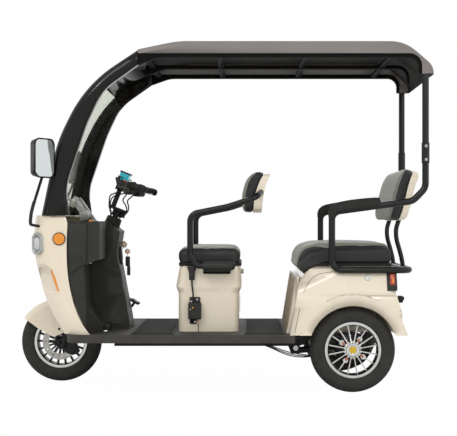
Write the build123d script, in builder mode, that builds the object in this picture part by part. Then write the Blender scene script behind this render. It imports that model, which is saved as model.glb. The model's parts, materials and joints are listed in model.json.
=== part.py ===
from build123d import *
import os
from math import atan2, cos, degrees, radians, sin, sqrt

os.makedirs("parts", exist_ok=True)

# A three-wheeled passenger vehicle. +X is forward, +Y is its left, +Z is up, in millimetres.
# The origin is on the ground under the middle of its outer box.

# ---- driving dimensions ----
wheelbase = 1490.0
front_axle_x = 840.0
tyre_radius = 209.5
tyre_width = 86.0
rim_seat_radius = 127.0
rim_lip_radius = 138.0
rim_width = 70.0
rear_track_half = 385.0
rake = 21.7
fork_lead = 18.6

body_half = 450.0
cowl_half = 410.0
roof_half = 425.0
wall = 4.0
pillar_width = 45.0
wheel_clearance = 9.0
running_clearance = 0.05
soft_clearance = 0.3

floor_top = 284.0
floor_depth = 38.0
floor_front_x = 753.0
floor_rear_x = -366.0
rail_size = 40.0
rail_y = 190.0

cowl_top = 868.0
roof_top = 1722.0
roof_rim_depth = 82.0
roof_joint_x = 400.0
post_x = -1006.0
post_y = 410.0
post_radius = 16.5
driver_tube_radius = 15.0

driver_box_front = 212.0
driver_box_rear = -106.0
driver_box_half = 268.0
driver_box_top = 614.0
driver_rail_y = 320.0
rear_body_top = 617.0
rear_seat_half = 360.0

# ---- derived places ----
rear_axle_x = front_axle_x - wheelbase
axle_z = tyre_radius
floor_bottom = floor_top - floor_depth
rail_top = floor_bottom
arch_radius = tyre_radius + wheel_clearance
steer_foot = Vector(front_axle_x - fork_lead / cos(radians(rake)), 0, axle_z)
steer_up = Vector(-sin(radians(rake)), 0, cos(radians(rake)))
steer_forward = Vector(cos(radians(rake)), 0, sin(radians(rake)))
sides = {"left": 1, "right": -1}


def on_steer(height):
    """A point on the steering axis, measured up from the height of the wheel's hub."""
    return steer_foot + steer_up * height


def steer_plane(height):
    """The plane square to the steering axis, with x forward and y to the left."""
    return Plane(origin=on_steer(height), x_dir=steer_forward, z_dir=steer_up)


def side_plane(y):
    """A plane of constant y, read with x forward and z up. Its extrusions go towards -Y."""
    return Plane.XZ.offset(-y)


def tube_plane(path):
    """The plane square to a path's start."""
    return Plane(origin=path @ 0, z_dir=path % 0)


def wheel_plane(x, y):
    """The plane through a wheel's hub at y, read with x forward and z up. Its extrusions go towards -Y."""
    return Plane(origin=(x, y, axle_z), x_dir=(1, 0, 0), z_dir=(0, -1, 0))


def bend_radii(points):
    """The largest tangent arc that each corner of a cord's route has room for."""
    radii = []
    for before, corner, after in zip(points, points[1:], points[2:]):
        back = Vector(*corner) - Vector(*before)
        on = Vector(*after) - Vector(*corner)
        half_turn = radians(back.get_angle(on)) / 2
        radii.append(0.45 * min(back.length, on.length) / (sin(half_turn) / cos(half_turn)))
    return radii


def tyre_section(x, y):
    """A tyre's section, between the rim's flanges and the tread."""
    half = tyre_width / 2
    bead = rim_width / 2
    with BuildSketch(Plane(origin=(x, y, axle_z), x_dir=(0, 1, 0), z_dir=(1, 0, 0))) as section:
        with BuildLine():
            seat = Line((-bead, rim_seat_radius), (bead, rim_seat_radius))
            side = Line(seat @ 1, (bead, rim_lip_radius))
            crown = Spline(
                side @ 1,
                (half, rim_lip_radius + 0.45 * (tyre_radius - rim_lip_radius)),
                (half - 13, tyre_radius - 12),
                (0, tyre_radius),
                (13 - half, tyre_radius - 12),
                (-half, rim_lip_radius + 0.45 * (tyre_radius - rim_lip_radius)),
                (-bead, rim_lip_radius),
            )
            Line(crown @ 1, seat @ 0)
        make_face()
    return section.sketch


def rim_section(x, y):
    """A rim's barrel with its drop centre and the two lips that hold the tyre."""
    bead = rim_width / 2
    with BuildSketch(Plane(origin=(x, y, axle_z), x_dir=(0, 1, 0), z_dir=(1, 0, 0))) as section:
        with BuildLine():
            Polyline(
                (-bead - lip_thickness, rim_lip_radius),
                (-bead, rim_lip_radius),
                (-bead, rim_seat_radius),
                (bead, rim_seat_radius),
                (bead, rim_lip_radius),
                (bead + lip_thickness, rim_lip_radius),
                (bead + lip_thickness, rim_seat_radius - 4),
                (bead - 14, barrel_radius),
                (14 - bead, barrel_radius),
                (-bead - lip_thickness, rim_seat_radius - 4),
                close=True,
            )
        make_face()
    return section.sketch


# ---- front wheel ----
fork_half = 72.0
fork_leg_radius = 18.0
hub_gap = 1.0
hub_half = fork_half - fork_leg_radius - hub_gap
hub_radius = 30.0
axle_radius = 8.0
lip_thickness = 3.0
barrel_radius = 119.0
front_spoke_count = 18
spoke_depth = 26.0
disc_radius = 93.0
disc_inner_radius = 62.0
disc_thickness = 4.0
disc_y = 44.0
disc_hole_count = 12
front_axis = Axis((front_axle_x, 0, axle_z), (0, 1, 0))

with BuildPart() as front_tyre:
    add(tyre_section(front_axle_x, 0))
    revolve(axis=front_axis)
front_tyre.part.label = "front_tyre"
export_step(front_tyre.part, "parts/front_tyre.step")

with BuildPart() as front_rim:
    add(rim_section(front_axle_x, 0))
    revolve(axis=front_axis)
    with BuildSketch(wheel_plane(front_axle_x, hub_half)):
        Circle(hub_radius)
    extrude(amount=2 * hub_half)
    with BuildSketch(wheel_plane(front_axle_x, spoke_depth / 2)):
        with PolarLocations(0, front_spoke_count):
            with Locations(((hub_radius + barrel_radius) / 2, 0)):
                Rectangle(barrel_radius - hub_radius + 8, 9)
    extrude(amount=spoke_depth)
    with BuildSketch(wheel_plane(front_axle_x, hub_half)):
        Circle(axle_radius + running_clearance)
    extrude(amount=2 * hub_half, mode=Mode.SUBTRACT)
front_rim.part.label = "front_rim"
export_step(front_rim.part, "parts/front_rim.step")

with BuildPart() as brake_disc:
    with BuildSketch(wheel_plane(front_axle_x, disc_y + disc_thickness / 2)):
        Circle(disc_radius)
        Circle(disc_inner_radius, mode=Mode.SUBTRACT)
        with PolarLocations(0, 6):
            with Locations(((hub_radius + disc_inner_radius) / 2, 0)):
                Rectangle(disc_inner_radius - hub_radius + 6, 12)
        Circle(hub_radius + 8)
        Circle(hub_radius, mode=Mode.SUBTRACT)
        with PolarLocations((disc_radius + disc_inner_radius) / 2, disc_hole_count):
            Circle(4, mode=Mode.SUBTRACT)
    extrude(amount=disc_thickness)
brake_disc.part.label = "brake_disc"
export_step(brake_disc.part, "parts/brake_disc.step")

# ---- rear wheels ----
rear_spoke_count = 16
lug_count = 4
rear_hub_radius = 44.0
lug_circle_radius = 62.0
stub_radius = 12.0
rear_hub_inner = 32.0
rear_hub_outer = 26.0
drum_radius = 84.0
drum_depth = 30.0

for side, sign in sides.items():
    wheel_y = sign * rear_track_half
    rear_axis = Axis((rear_axle_x, wheel_y, axle_z), (0, 1, 0))
    inner_y = wheel_y - sign * rear_hub_inner
    outer_y = wheel_y + sign * rear_hub_outer

    with BuildPart() as rear_tyre:
        add(tyre_section(rear_axle_x, wheel_y))
        revolve(axis=rear_axis)
    rear_tyre.part.label = f"rear_tyre_{side}"
    export_step(rear_tyre.part, f"parts/rear_tyre_{side}.step")

    with BuildPart() as rear_rim:
        add(rim_section(rear_axle_x, wheel_y))
        revolve(axis=rear_axis)
        with BuildSketch(wheel_plane(rear_axle_x, outer_y)):
            Circle(rear_hub_radius)
        extrude(amount=sign * (rear_hub_inner + rear_hub_outer))
        with BuildSketch(wheel_plane(rear_axle_x, wheel_y + sign * 20)):
            with PolarLocations(0, rear_spoke_count):
                with Locations(((rear_hub_radius + barrel_radius) / 2, 0)):
                    Rectangle(barrel_radius - rear_hub_radius + 8, 6)
            with PolarLocations(lug_circle_radius, lug_count):
                Circle(13)
        extrude(amount=sign * 16)
        with BuildSketch(wheel_plane(rear_axle_x, outer_y)):
            Circle(stub_radius + running_clearance)
        extrude(amount=sign * (rear_hub_inner + rear_hub_outer), mode=Mode.SUBTRACT)
        # the brake drum is cast in one with the hub
        with BuildSketch(wheel_plane(rear_axle_x, inner_y + sign * (drum_depth + 4))):
            Circle(drum_radius)
            Circle(drum_radius - 12, mode=Mode.SUBTRACT)
        extrude(amount=sign * drum_depth)
        with BuildSketch(wheel_plane(rear_axle_x, inner_y + sign * (drum_depth + 4))):
            Circle(drum_radius)
            Circle(rear_hub_radius, mode=Mode.SUBTRACT)
        extrude(amount=sign * 8)
    rear_rim.part.label = f"rear_rim_{side}"
    export_step(rear_rim.part, f"parts/rear_rim_{side}.step")

# ---- frame ----
frame_front_x = 540.0
kick_x = -430.0
kick_top_x = -500.0
rear_rail_z = 452.0
rear_rail_end_x = -830.0
head_low = 300.0
head_high = 440.0
stem_radius = 16.0
head_radius = 27.0
pivot_x = -372.0
pivot_z = 180.0
pivot_pin_radius = 8.0

with BuildPart() as chassis_frame:
    with BuildLine() as rail_line:
        FilletPolyline(
            (frame_front_x, rail_y, rail_top - rail_size / 2),
            (kick_x, rail_y, rail_top - rail_size / 2),
            (kick_top_x, rail_y, rear_rail_z),
            (rear_rail_end_x, rail_y, rear_rail_z),
            radius=60,
        )
    with BuildSketch(tube_plane(rail_line.line)):
        Rectangle(rail_size, rail_size)
        Rectangle(rail_size - 6, rail_size - 6, mode=Mode.SUBTRACT)
    sweep()
    mirror(about=Plane.XZ)
    cross_length = 2 * rail_y - rail_size
    for cross_x, cross_z in (
        (frame_front_x - rail_size / 2, rail_top - rail_size / 2),
        (60, rail_top - rail_size / 2),
        (kick_x + 70, rail_top - rail_size / 2),
        (rear_rail_end_x + rail_size / 2, rear_rail_z),
    ):
        with BuildSketch(Plane.XZ.offset(-cross_length / 2)):
            with Locations((cross_x, cross_z)):
                Rectangle(rail_size, rail_size)
        extrude(amount=cross_length)
    # the shock absorbers hang from a beam that reaches past both rails
    with BuildSketch(Plane.XZ.offset(-275)):
        with Locations((rear_axle_x, rear_rail_z)):
            Rectangle(30, 30)
    extrude(amount=550)
    # the neck rises from the front cross member to the head tube
    neck_low = Vector(frame_front_x - rail_size / 2, 0, rail_top - 4)
    neck_high = on_steer((head_low + head_high) / 2)
    with BuildLine() as neck_line:
        FilletPolyline(
            neck_low,
            (frame_front_x - 10, 0, 470),
            neck_high,
            radius=70,
        )
    with BuildSketch(Plane(origin=neck_low, z_dir=(neck_line.line % 0))):
        Circle(24)
    sweep(path=neck_line.line)
    with BuildSketch(steer_plane(head_low)):
        Circle(head_radius)
    extrude(amount=head_high - head_low)
    with BuildSketch(steer_plane(head_low)):
        Circle(stem_radius + running_clearance)
    extrude(amount=head_high - head_low, mode=Mode.SUBTRACT)
    # ears for the swing arms' pivots, below the rails
    for ear_y in (rail_y - 20, rail_y + 14, -rail_y - 14, 20 - rail_y):
        with BuildSketch(Plane.XZ.offset(-ear_y - 3)):
            with BuildLine():
                Polyline(
                    (pivot_x - 30, rail_top - rail_size),
                    (pivot_x + 30, rail_top - rail_size),
                    (pivot_x + 14, pivot_z - 14),
                    (pivot_x - 14, pivot_z - 14),
                    close=True,
                )
            make_face()
            with Locations((pivot_x, pivot_z)):
                Circle(pivot_pin_radius + running_clearance, mode=Mode.SUBTRACT)
        extrude(amount=6)
chassis_frame.part.label = "chassis_frame"
export_step(chassis_frame.part, "parts/chassis_frame.step")

# ---- rear axle, swing arms and shock absorbers ----
axle_tube_radius = 25.0
axle_tube_half = 346.0
backing_thickness = 6.0
motor_radius = 72.0
motor_half = 120.0
motor_offset = 118.0
arm_height = 30.0
arm_half = 13.7
arm_centre_y = rail_y - 3
shock_y = 245.0
shock_radius = 20.0
shock_rod_radius = 8.0
beam_size = 30.0

with BuildPart() as rear_axle:
    with BuildSketch(wheel_plane(rear_axle_x, axle_tube_half)):
        Circle(axle_tube_radius)
    extrude(amount=2 * axle_tube_half)
    stub_half = rear_track_half + rear_hub_outer + 8
    with BuildSketch(wheel_plane(rear_axle_x, stub_half)):
        Circle(stub_radius)
    extrude(amount=2 * stub_half)
    for sign in sides.values():
        with BuildSketch(wheel_plane(rear_axle_x, sign * (axle_tube_half + backing_thickness))):
            Circle(drum_radius)
        extrude(amount=sign * backing_thickness)
    # gear case between the axle and the motor ahead of it
    with BuildSketch(wheel_plane(rear_axle_x + motor_offset / 2, 32)):
        SlotCenterToCenter(motor_offset, 2 * (motor_radius - 8))
    extrude(amount=64)
    with BuildSketch(wheel_plane(rear_axle_x + motor_offset, motor_half)):
        Circle(motor_radius)
    extrude(amount=2 * motor_half)
rear_axle.part.label = "rear_axle"
export_step(rear_axle.part, "parts/rear_axle.step")

with BuildPart() as swing_arms:
    for sign in sides.values():
        arm_middle = Vector((pivot_x + rear_axle_x) / 2, sign * arm_centre_y + arm_half, (pivot_z + axle_z) / 2)
        arm_length = sqrt((pivot_x - rear_axle_x) ** 2 + (pivot_z - axle_z) ** 2)
        arm_angle = degrees(atan2(pivot_z - axle_z, pivot_x - rear_axle_x))
        with BuildSketch(Plane(origin=arm_middle, x_dir=(1, 0, 0), z_dir=(0, -1, 0))):
            SlotCenterToCenter(arm_length, arm_height, rotation=arm_angle)
        extrude(amount=2 * arm_half)
        with BuildSketch(wheel_plane(rear_axle_x, sign * arm_centre_y + arm_half)):
            Circle(axle_tube_radius + 9)
        extrude(amount=2 * arm_half)
        with BuildSketch(wheel_plane(rear_axle_x, sign * arm_centre_y + arm_half)):
            Circle(axle_tube_radius)
        extrude(amount=2 * arm_half, mode=Mode.SUBTRACT)
        pin_half = arm_half + 12
        with BuildSketch(side_plane(sign * arm_centre_y + pin_half)):
            with Locations((pivot_x, pivot_z)):
                Circle(pivot_pin_radius)
        extrude(amount=2 * pin_half)
swing_arms.part.label = "swing_arms"
export_step(swing_arms.part, "parts/swing_arms.step")

with BuildPart() as shock_absorbers:
    shock_low = axle_z + axle_tube_radius
    shock_high = rear_rail_z - beam_size / 2
    for sign in sides.values():
        with BuildSketch(Plane.XY.offset(shock_low)):
            with Locations((rear_axle_x, sign * shock_y)):
                Circle(shock_rod_radius)
        extrude(amount=shock_high - shock_low)
        with BuildSketch(Plane.XY.offset(shock_low + 30)):
            with Locations((rear_axle_x, sign * shock_y)):
                Circle(shock_radius)
        extrude(amount=shock_high - shock_low - 60)
shock_absorbers.part.label = "shock_absorbers"
export_step(shock_absorbers.part, "parts/shock_absorbers.step")

# ---- floor ----
notch_x = 575.0
notch_half = 240.0
neck_slot_half = 34.0
floor_plate = 6.0
corner_radius = 80.0


def floor_outline(inset):
    """The floor's plan, with the notch that the steered wheel turns in and the slot that the neck comes through."""
    with BuildSketch(Plane.XY.offset(floor_bottom)) as outline:
        with BuildLine():
            Polyline(
                (floor_rear_x + inset, -body_half + inset),
                (floor_front_x - inset, -body_half + inset),
                (floor_front_x - inset, -notch_half - inset),
                (notch_x - inset, -notch_half - inset),
                (notch_x - inset, notch_half + inset),
                (floor_front_x - inset, notch_half + inset),
                (floor_front_x - inset, body_half - inset),
                (floor_rear_x + inset, body_half - inset),
                close=True,
            )
        make_face()
        fillet(outline.vertices().group_by(Axis.X)[-1].group_by(Axis.Y)[0], corner_radius - inset)
        fillet(outline.vertices().group_by(Axis.X)[-1].group_by(Axis.Y)[-1], corner_radius - inset)
        with Locations((notch_x, 0)):
            Rectangle(2 * (notch_x - frame_front_x) + 150 + 2 * inset, 2 * (neck_slot_half + inset), mode=Mode.SUBTRACT)
    return outline.sketch


with BuildPart() as floor_board:
    extrude(floor_outline(0), amount=floor_depth)
    extrude(floor_outline(wall), amount=floor_depth - floor_plate, mode=Mode.SUBTRACT)
    for rib_x in (-280, -60, 160, 380):
        with BuildSketch(Plane.XY.offset(floor_bottom)):
            with Locations((rib_x, 0)):
                Rectangle(6, 2 * (body_half - wall))
        extrude(amount=floor_depth - floor_plate)
floor_board.part.label = "floor_board"
export_step(floor_board.part, "parts/floor_board.step")

mat_thickness = 4.0
mat_half = 400.0
with BuildPart() as floor_mats:
    with BuildSketch(Plane.XY.offset(floor_top)):
        for mat_rear, mat_front in ((driver_box_front + 14, 440), (floor_rear_x + 42, driver_box_rear - 14)):
            with Locations(((mat_rear + mat_front) / 2, 0)):
                RectangleRounded(mat_front - mat_rear, 2 * mat_half, 20)
    extrude(amount=mat_thickness)
floor_mats.part.label = "floor_mats"
export_step(floor_mats.part, "parts/floor_mats.step")

# ---- front cowl ----
cowl_corner = 95.0
arch_half = 245.0
arch_top = 520.0
arch_corner = 120.0
cowl_front = ((779, floor_top), (830, 374), (874, 482), (906, 598), (921, 700), (924, 800))
cowl_rear = ((746, 830), (750, 718), (743, 569), (723, 464), (686, 359), (634, floor_top))


lamp_point = Vector(893, 380, 729)
lamp_turn = 45.0
lamp_height = 108.0
lamp_width = 74.0
lamp_corner = 20.0
lamp_depth = 26.0
reflector_radius = 29.0
reflector_x = 786.0
reflector_z = 753.0


def corner_plane(sign, out):
    """The plane of a lamp on the cowl's corner, read with y across and z up."""
    facing = Vector(cos(radians(lamp_turn)), sign * sin(radians(lamp_turn)), 0)
    across = Vector(-sign * sin(radians(lamp_turn)), cos(radians(lamp_turn)), 0) * sign
    place = Vector(lamp_point.X, sign * lamp_point.Y, lamp_point.Z)
    return Plane(origin=place + facing * out, x_dir=(across.X, across.Y, 0), z_dir=facing)


def lamp_outline(sign, out, inset):
    """A lamp's octagon on its corner plane."""
    with BuildSketch(corner_plane(sign, out)) as outline:
        Rectangle(lamp_width - 2 * inset, lamp_height - 2 * inset)
        chamfer(outline.vertices(), lamp_corner - 0.6 * inset)
    return outline.sketch


def cowl_form(inset):
    """The cowl's outer form, or with an inset the space inside it, which is open behind and below."""
    with BuildPart() as form:
        with BuildSketch(Plane.XZ) as profile:
            with BuildLine():
                front = Spline(*cowl_front)
                top = Polyline(front @ 1, (906, cowl_top), (757, cowl_top), cowl_rear[0])
                rear = Spline(top @ 1, *cowl_rear[1:])
                Line(rear @ 1, front @ 0)
            make_face()
        extrude(amount=cowl_half - inset, both=True)
        upright = form.edges().filter_by(lambda e: abs(e.center().Y) > cowl_half - inset - 1)
        corner_edges = upright.filter_by(lambda e: e.center().X > 840 and e.length > 300)
        fillet(corner_edges, cowl_corner - inset)
    return form.part.moved(Location((-1.2 * inset, 0, -inset)))


scoop_depth = 22.0
scoop_point = Vector(859, 371, 546)
scoop_outline = ((-62, 52), (-52, 62), (70, 66), (70, -58), (-34, -62), (-44, -52))


def scoop_form(sign, grow):
    """The hollow low on the cowl's corner, grown by a wall so that the inside clears it."""
    facing = Vector(cos(radians(lamp_turn)), sign * sin(radians(lamp_turn)), 0)
    across = Vector(sin(radians(lamp_turn)), -sign * cos(radians(lamp_turn)), 0)
    floor_point = Vector(scoop_point.X, sign * scoop_point.Y, scoop_point.Z) - facing * (scoop_depth + grow)
    with BuildPart() as scoop:
        with BuildSketch(Plane(origin=floor_point, x_dir=(across.X, across.Y, 0), z_dir=facing)) as mouth:
            Polygon(*[(sign * u, v) for u, v in scoop_outline], align=None)
            offset(amount=4 + grow)
        extrude(amount=120, taper=-14)
    return scoop.part


with BuildPart() as cowl_cavity:
    add(cowl_form(wall))
    for sign in sides.values():
        add(scoop_form(sign, wall), mode=Mode.SUBTRACT)

with BuildPart() as front_cowl:
    add(cowl_form(0))
    for sign in sides.values():
        add(scoop_form(sign, 0), mode=Mode.SUBTRACT)
    add(cowl_cavity.part, mode=Mode.SUBTRACT)
    with BuildSketch(Plane.YZ.offset(600)):
        with Locations((0, (arch_top + floor_bottom) / 2)):
            arch = Rectangle(2 * arch_half, arch_top - floor_bottom)
        fillet(arch.vertices().group_by(Axis.Z)[-1], arch_corner)
    extrude(amount=500, mode=Mode.SUBTRACT)
    for sign in sides.values():
        extrude(lamp_outline(sign, -60, -soft_clearance), amount=120, mode=Mode.SUBTRACT)
front_cowl.part.label = "front_cowl"
export_step(front_cowl.part, "parts/front_cowl.step")

# ---- leg shield ----
shield_half = 402.0
shield_top = 836.0
column_half = 112.0
pocket_rear = 590.0
pocket_chamfer = 66.0
column_rear = ((523, shield_top - 50), (533, 725), (538, 667), (529, 609), (509, 499), (480, 350), (471, floor_top))
boot_radius = 46.0
boot_low = 618.0
boot_folds = 7
boot_pitch = 11.5
boot_taper = 0.9
boot_fold_depth = 3.5
boot_mouth = 34.0
boot_skirt = 14.0


def shield_form(inset):
    """The leg shield's outer form, or with an inset the space inside it, which is open in front and below."""
    shell_half = shield_half - inset
    with BuildPart() as form:
        with BuildSketch(Plane.XZ):
            with BuildLine():
                inner = Spline(*[(x - 4, z) for x, z in cowl_rear])
                Polyline(inner @ 1, (inner @ 1) - (60, 0), (655, 420), (668, 600), (655, shield_top), inner @ 0)
            make_face()
        extrude(amount=shell_half, both=True)
        with BuildSketch(Plane.XY.offset(floor_bottom)):
            with BuildLine():
                Polyline(
                    (800, shell_half),
                    (pocket_rear + pocket_chamfer, shell_half),
                    (pocket_rear, shell_half - 1.6 * pocket_chamfer),
                    (pocket_rear, 1.6 * pocket_chamfer - shell_half),
                    (pocket_rear + pocket_chamfer, -shell_half),
                    (800, -shell_half),
                    close=True,
                )
            make_face()
        extrude(amount=shield_top - floor_bottom, mode=Mode.INTERSECT)
        with BuildSketch(Plane.XZ):
            with BuildLine():
                Polyline(
                    (742, shield_top),
                    (pocket_rear, shield_top),
                    (pocket_rear, 650),
                    (656, 630),
                    (735, 577),
                    close=True,
                )
            make_face()
        extrude(amount=shell_half - 1, both=True)
        with BuildSketch(Plane.XZ):
            with BuildLine():
                rear = Spline(*column_rear)
                Polyline(rear @ 1, (700, floor_top), (700, shield_top), (pocket_rear, shield_top), rear @ 0)
            make_face()
        extrude(amount=column_half - inset, both=True)
    return form.part.moved(Location((1.2 * inset, 0, -inset)))


with BuildPart() as leg_shield:
    add(shield_form(0))
    add(shield_form(wall), mode=Mode.SUBTRACT)
    with BuildSketch(steer_plane(head_high + 60)):
        Circle(boot_radius - 2 * boot_taper + soft_clearance)
    extrude(amount=300, mode=Mode.SUBTRACT)
    # room for the turning fender and wheel under the column's front
    with BuildSketch(wheel_plane(front_axle_x, arch_half)):
        Circle(arch_radius + 40)
    extrude(amount=2 * arch_half, mode=Mode.SUBTRACT)
leg_shield.part.label = "leg_shield"
export_step(leg_shield.part, "parts/leg_shield.step")

with BuildPart() as steering_boot:
    boot_points = [(boot_radius, boot_low - boot_skirt)]
    for fold in range(boot_folds):
        fold_low = boot_low + fold * boot_pitch
        boot_points.append((boot_radius - fold * boot_taper, fold_low))
        boot_points.append((boot_radius - fold * boot_taper, fold_low + 0.3 * boot_pitch))
        boot_points.append((boot_radius - fold * boot_taper - boot_fold_depth, fold_low + 0.65 * boot_pitch))
    boot_high = boot_low + boot_folds * boot_pitch
    with BuildSketch(Plane(origin=steer_foot, x_dir=steer_forward, z_dir=(0, -1, 0))):
        with BuildLine():
            Polyline(
                *boot_points,
                (boot_radius - boot_folds * boot_taper, boot_high),
                (boot_mouth, boot_high),
                (boot_mouth, boot_low - boot_skirt),
                close=True,
            )
        make_face()
    revolve(axis=Axis(steer_foot, steer_up))
steering_boot.part.label = "steering_boot"
export_step(steering_boot.part, "parts/steering_boot.step")

# ---- lamps and reflectors of the cowl ----
with BuildPart() as headlamp_bezels:
    for sign in sides.values():
        extrude(lamp_outline(sign, -lamp_depth / 2, 0), amount=lamp_depth)
        extrude(lamp_outline(sign, lamp_depth / 2 - 12, 12), amount=20, mode=Mode.SUBTRACT)
headlamp_bezels.part.label = "headlamp_bezels"
export_step(headlamp_bezels.part, "parts/headlamp_bezels.step")

with BuildPart() as headlamp_lenses:
    for sign in sides.values():
        extrude(lamp_outline(sign, lamp_depth / 2 - 12, 12 + soft_clearance), amount=9)
headlamp_lenses.part.label = "headlamp_lenses"
export_step(headlamp_lenses.part, "parts/headlamp_lenses.step")

with BuildPart() as turn_signals:
    for sign in sides.values():
        with BuildSketch(side_plane(sign * (cowl_half + 7))):
            with Locations((reflector_x, reflector_z)):
                Circle(reflector_radius)
        extrude(amount=sign * 7)
        # the slim lamp stands along the hollow's rear edge
        with BuildSketch(side_plane(sign * (cowl_half - 1))):
            with BuildLine():
                Polyline((830, 598), (820, 594), (785, 492), (791, 486), close=True)
            make_face()
        extrude(amount=sign * 5)
    add(front_cowl.part, mode=Mode.SUBTRACT)
turn_signals.part.label = "turn_signals"
export_step(turn_signals.part, "parts/turn_signals.step")

# ---- windscreen surround and windscreen ----
visor_wall = 6.0
screen_thickness = 5.0
screen_gap = 2.0
screen_top_x = 600.0
surround_front = ((876, cowl_top), (800, roof_top - 492), (660, roof_top - 212), (roof_joint_x, roof_top - 40))
surround_front_bends = (720, 640)
surround_rear = (
    (738, cowl_top),
    (756, cowl_top + 142),
    (650, roof_top - 402),
    (575, roof_top - 242),
    (roof_joint_x, roof_top - 118),
)
surround_rear_bends = (300, 500, 260)
pillar_edge = 14.0


def surround_form(inset):
    """The side view of the pillars and visor, drawn in from the front by the inset."""
    with BuildSketch(Plane.XZ) as band:
        with BuildLine():
            front = FilletPolyline(*surround_front, radius=surround_front_bends)
            rear = FilletPolyline(*surround_rear, radius=surround_rear_bends)
            Line(front @ 1, rear @ 1)
            Line(front @ 0, rear @ 0)
        make_face()
    return band.sketch.moved(Location((-inset, 0, -0.6 * inset)))


def screen_zone(bottom):
    """The side view of everything in front of and below the windscreen's top edge."""
    with BuildSketch(Plane.XZ) as zone:
        Polygon(
            (screen_top_x, roof_top + 78),
            (1000, roof_top + 78),
            (1000, bottom),
            (screen_top_x, bottom),
            align=None,
        )
    return zone.sketch


with BuildPart() as windscreen_surround:
    extrude(surround_form(0), amount=roof_half, both=True)
    front_edges = windscreen_surround.edges().filter_by(
        lambda e: abs(abs(e.center().Y) - roof_half) < 1 and abs(e.tangent_at(0.5).Y) < 0.1
    )
    screen_height = surround_front[-1][1] - cowl_top
    nose_edges = front_edges.filter_by(
        lambda e: e.center().X > 852 - 505 * (e.center().Z - cowl_top) / screen_height
    )
    fillet(nose_edges.filter_by(lambda e: e.center().Z > cowl_top + 1), pillar_edge)
    # the space between the pillars, open behind and below the visor's skin
    extrude(surround_form(visor_wall * 1.4), amount=roof_half - pillar_width, both=True, mode=Mode.SUBTRACT)
    extrude(screen_zone(cowl_top - 50), amount=roof_half - pillar_width, both=True, mode=Mode.SUBTRACT)
windscreen_surround.part.label = "windscreen_surround"
export_step(windscreen_surround.part, "parts/windscreen_surround.step")

with BuildPart() as windscreen:
    screen_half = roof_half - pillar_width
    extrude(surround_form(screen_gap), amount=screen_half, both=True)
    extrude(surround_form(screen_gap + 1.2 * screen_thickness), amount=screen_half, both=True, mode=Mode.SUBTRACT)
    extrude(screen_zone(cowl_top), amount=screen_half, both=True, mode=Mode.INTERSECT)
windscreen.part.label = "windscreen"
export_step(windscreen.part, "parts/windscreen.step")

# ---- roof ----
roof_skin = 5.0
roof_cheek = 34.0
roof_edge = 26.0
seal_depth = 19.0
roof_rear_x = -1048.0
roof_end_z = roof_top - 163
roof_inner_x = -988.0
roof_seal_z = roof_top - roof_rim_depth + seal_depth
roof_outer = (
    surround_front[-1],
    (210, roof_top),
    (-905, roof_top),
    (roof_rear_x, roof_top - 122),
    (roof_rear_x, roof_end_z),
)
roof_outer_bends = (500, 190, 80)


def roof_band(depth, low, bends):
    """The roof's side view from its top down to a rim, and round its rear end."""
    with BuildSketch(Plane.XZ) as band:
        with BuildLine():
            top = FilletPolyline(*roof_outer, radius=roof_outer_bends)
            rim = FilletPolyline(
                (roof_joint_x, low),
                (roof_rear_x + depth, low),
                (roof_rear_x + depth, roof_end_z),
                radius=bends,
            )
            Line(top @ 0, rim @ 0)
            Line(top @ 1, rim @ 1)
        make_face()
    return band.sketch


with BuildPart() as roof_shell:
    roof_depth = roof_inner_x - roof_rear_x
    extrude(roof_band(roof_depth, roof_seal_z, 62), amount=roof_half, both=True)
    rim_edges = roof_shell.edges().filter_by(
        lambda e: abs(abs(e.center().Y) - roof_half) < 1 and abs(e.tangent_at(0.5).Y) < 0.1
    )
    crown_edges = rim_edges.filter_by(lambda e: e.center().Z > roof_top - 24 or e.center().X < roof_inner_x - 5)
    fillet(crown_edges.filter_by(lambda e: e.center().Z > roof_end_z + 5), roof_edge)
    # hollow between the side rims, below the skin and in front of the rear skin
    with BuildSketch(Plane.XZ) as hollow:
        with BuildLine():
            skin = FilletPolyline(
                (roof_joint_x, surround_front[-1][1] - roof_skin),
                (210, roof_top - roof_skin),
                (-902, roof_top - roof_skin),
                (roof_rear_x + roof_skin, roof_top - 124),
                (roof_rear_x + roof_skin, roof_end_z - 30),
                radius=(500, 185, 75),
            )
            Polyline(skin @ 1, (roof_joint_x, roof_end_z - 30), skin @ 0)
        make_face()
    extrude(hollow.sketch, amount=roof_half - roof_cheek, both=True, mode=Mode.SUBTRACT)
roof_shell.part.label = "roof_shell"
export_step(roof_shell.part, "parts/roof_shell.step")

# the black hoop under the roof's rim, with bows across
frame_bow_half = 14.0
with BuildPart() as roof_frame:
    with BuildSketch(Plane.XZ) as hoop:
        with BuildLine():
            low = FilletPolyline(
                surround_rear[-1],
                (300, roof_seal_z - seal_depth),
                (roof_inner_x + 12, roof_seal_z - seal_depth),
                (roof_inner_x + 12, roof_end_z),
                radius=(160, 50),
            )
            high = FilletPolyline(
                (roof_joint_x, roof_seal_z),
                (roof_inner_x, roof_seal_z),
                (roof_inner_x, roof_end_z),
                radius=62,
            )
            Line(low @ 0, high @ 0)
            Line(low @ 1, high @ 1)
        make_face()
    roof_frame_half = roof_half - 6
    extrude(hoop.sketch, amount=roof_frame_half, both=True)
    extrude(hoop.sketch, amount=roof_frame_half - roof_cheek, both=True, mode=Mode.SUBTRACT)
    for bow_x in (roof_joint_x - 40, 0, -420, -840):
        with BuildSketch(Plane.YZ.offset(bow_x - frame_bow_half)):
            with Locations((0, roof_seal_z - seal_depth / 2)):
                Rectangle(2 * (roof_frame_half - roof_cheek) + 4, seal_depth - 4)
        extrude(amount=2 * frame_bow_half)
roof_frame.part.label = "roof_frame"
export_step(roof_frame.part, "parts/roof_frame.step")

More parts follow.
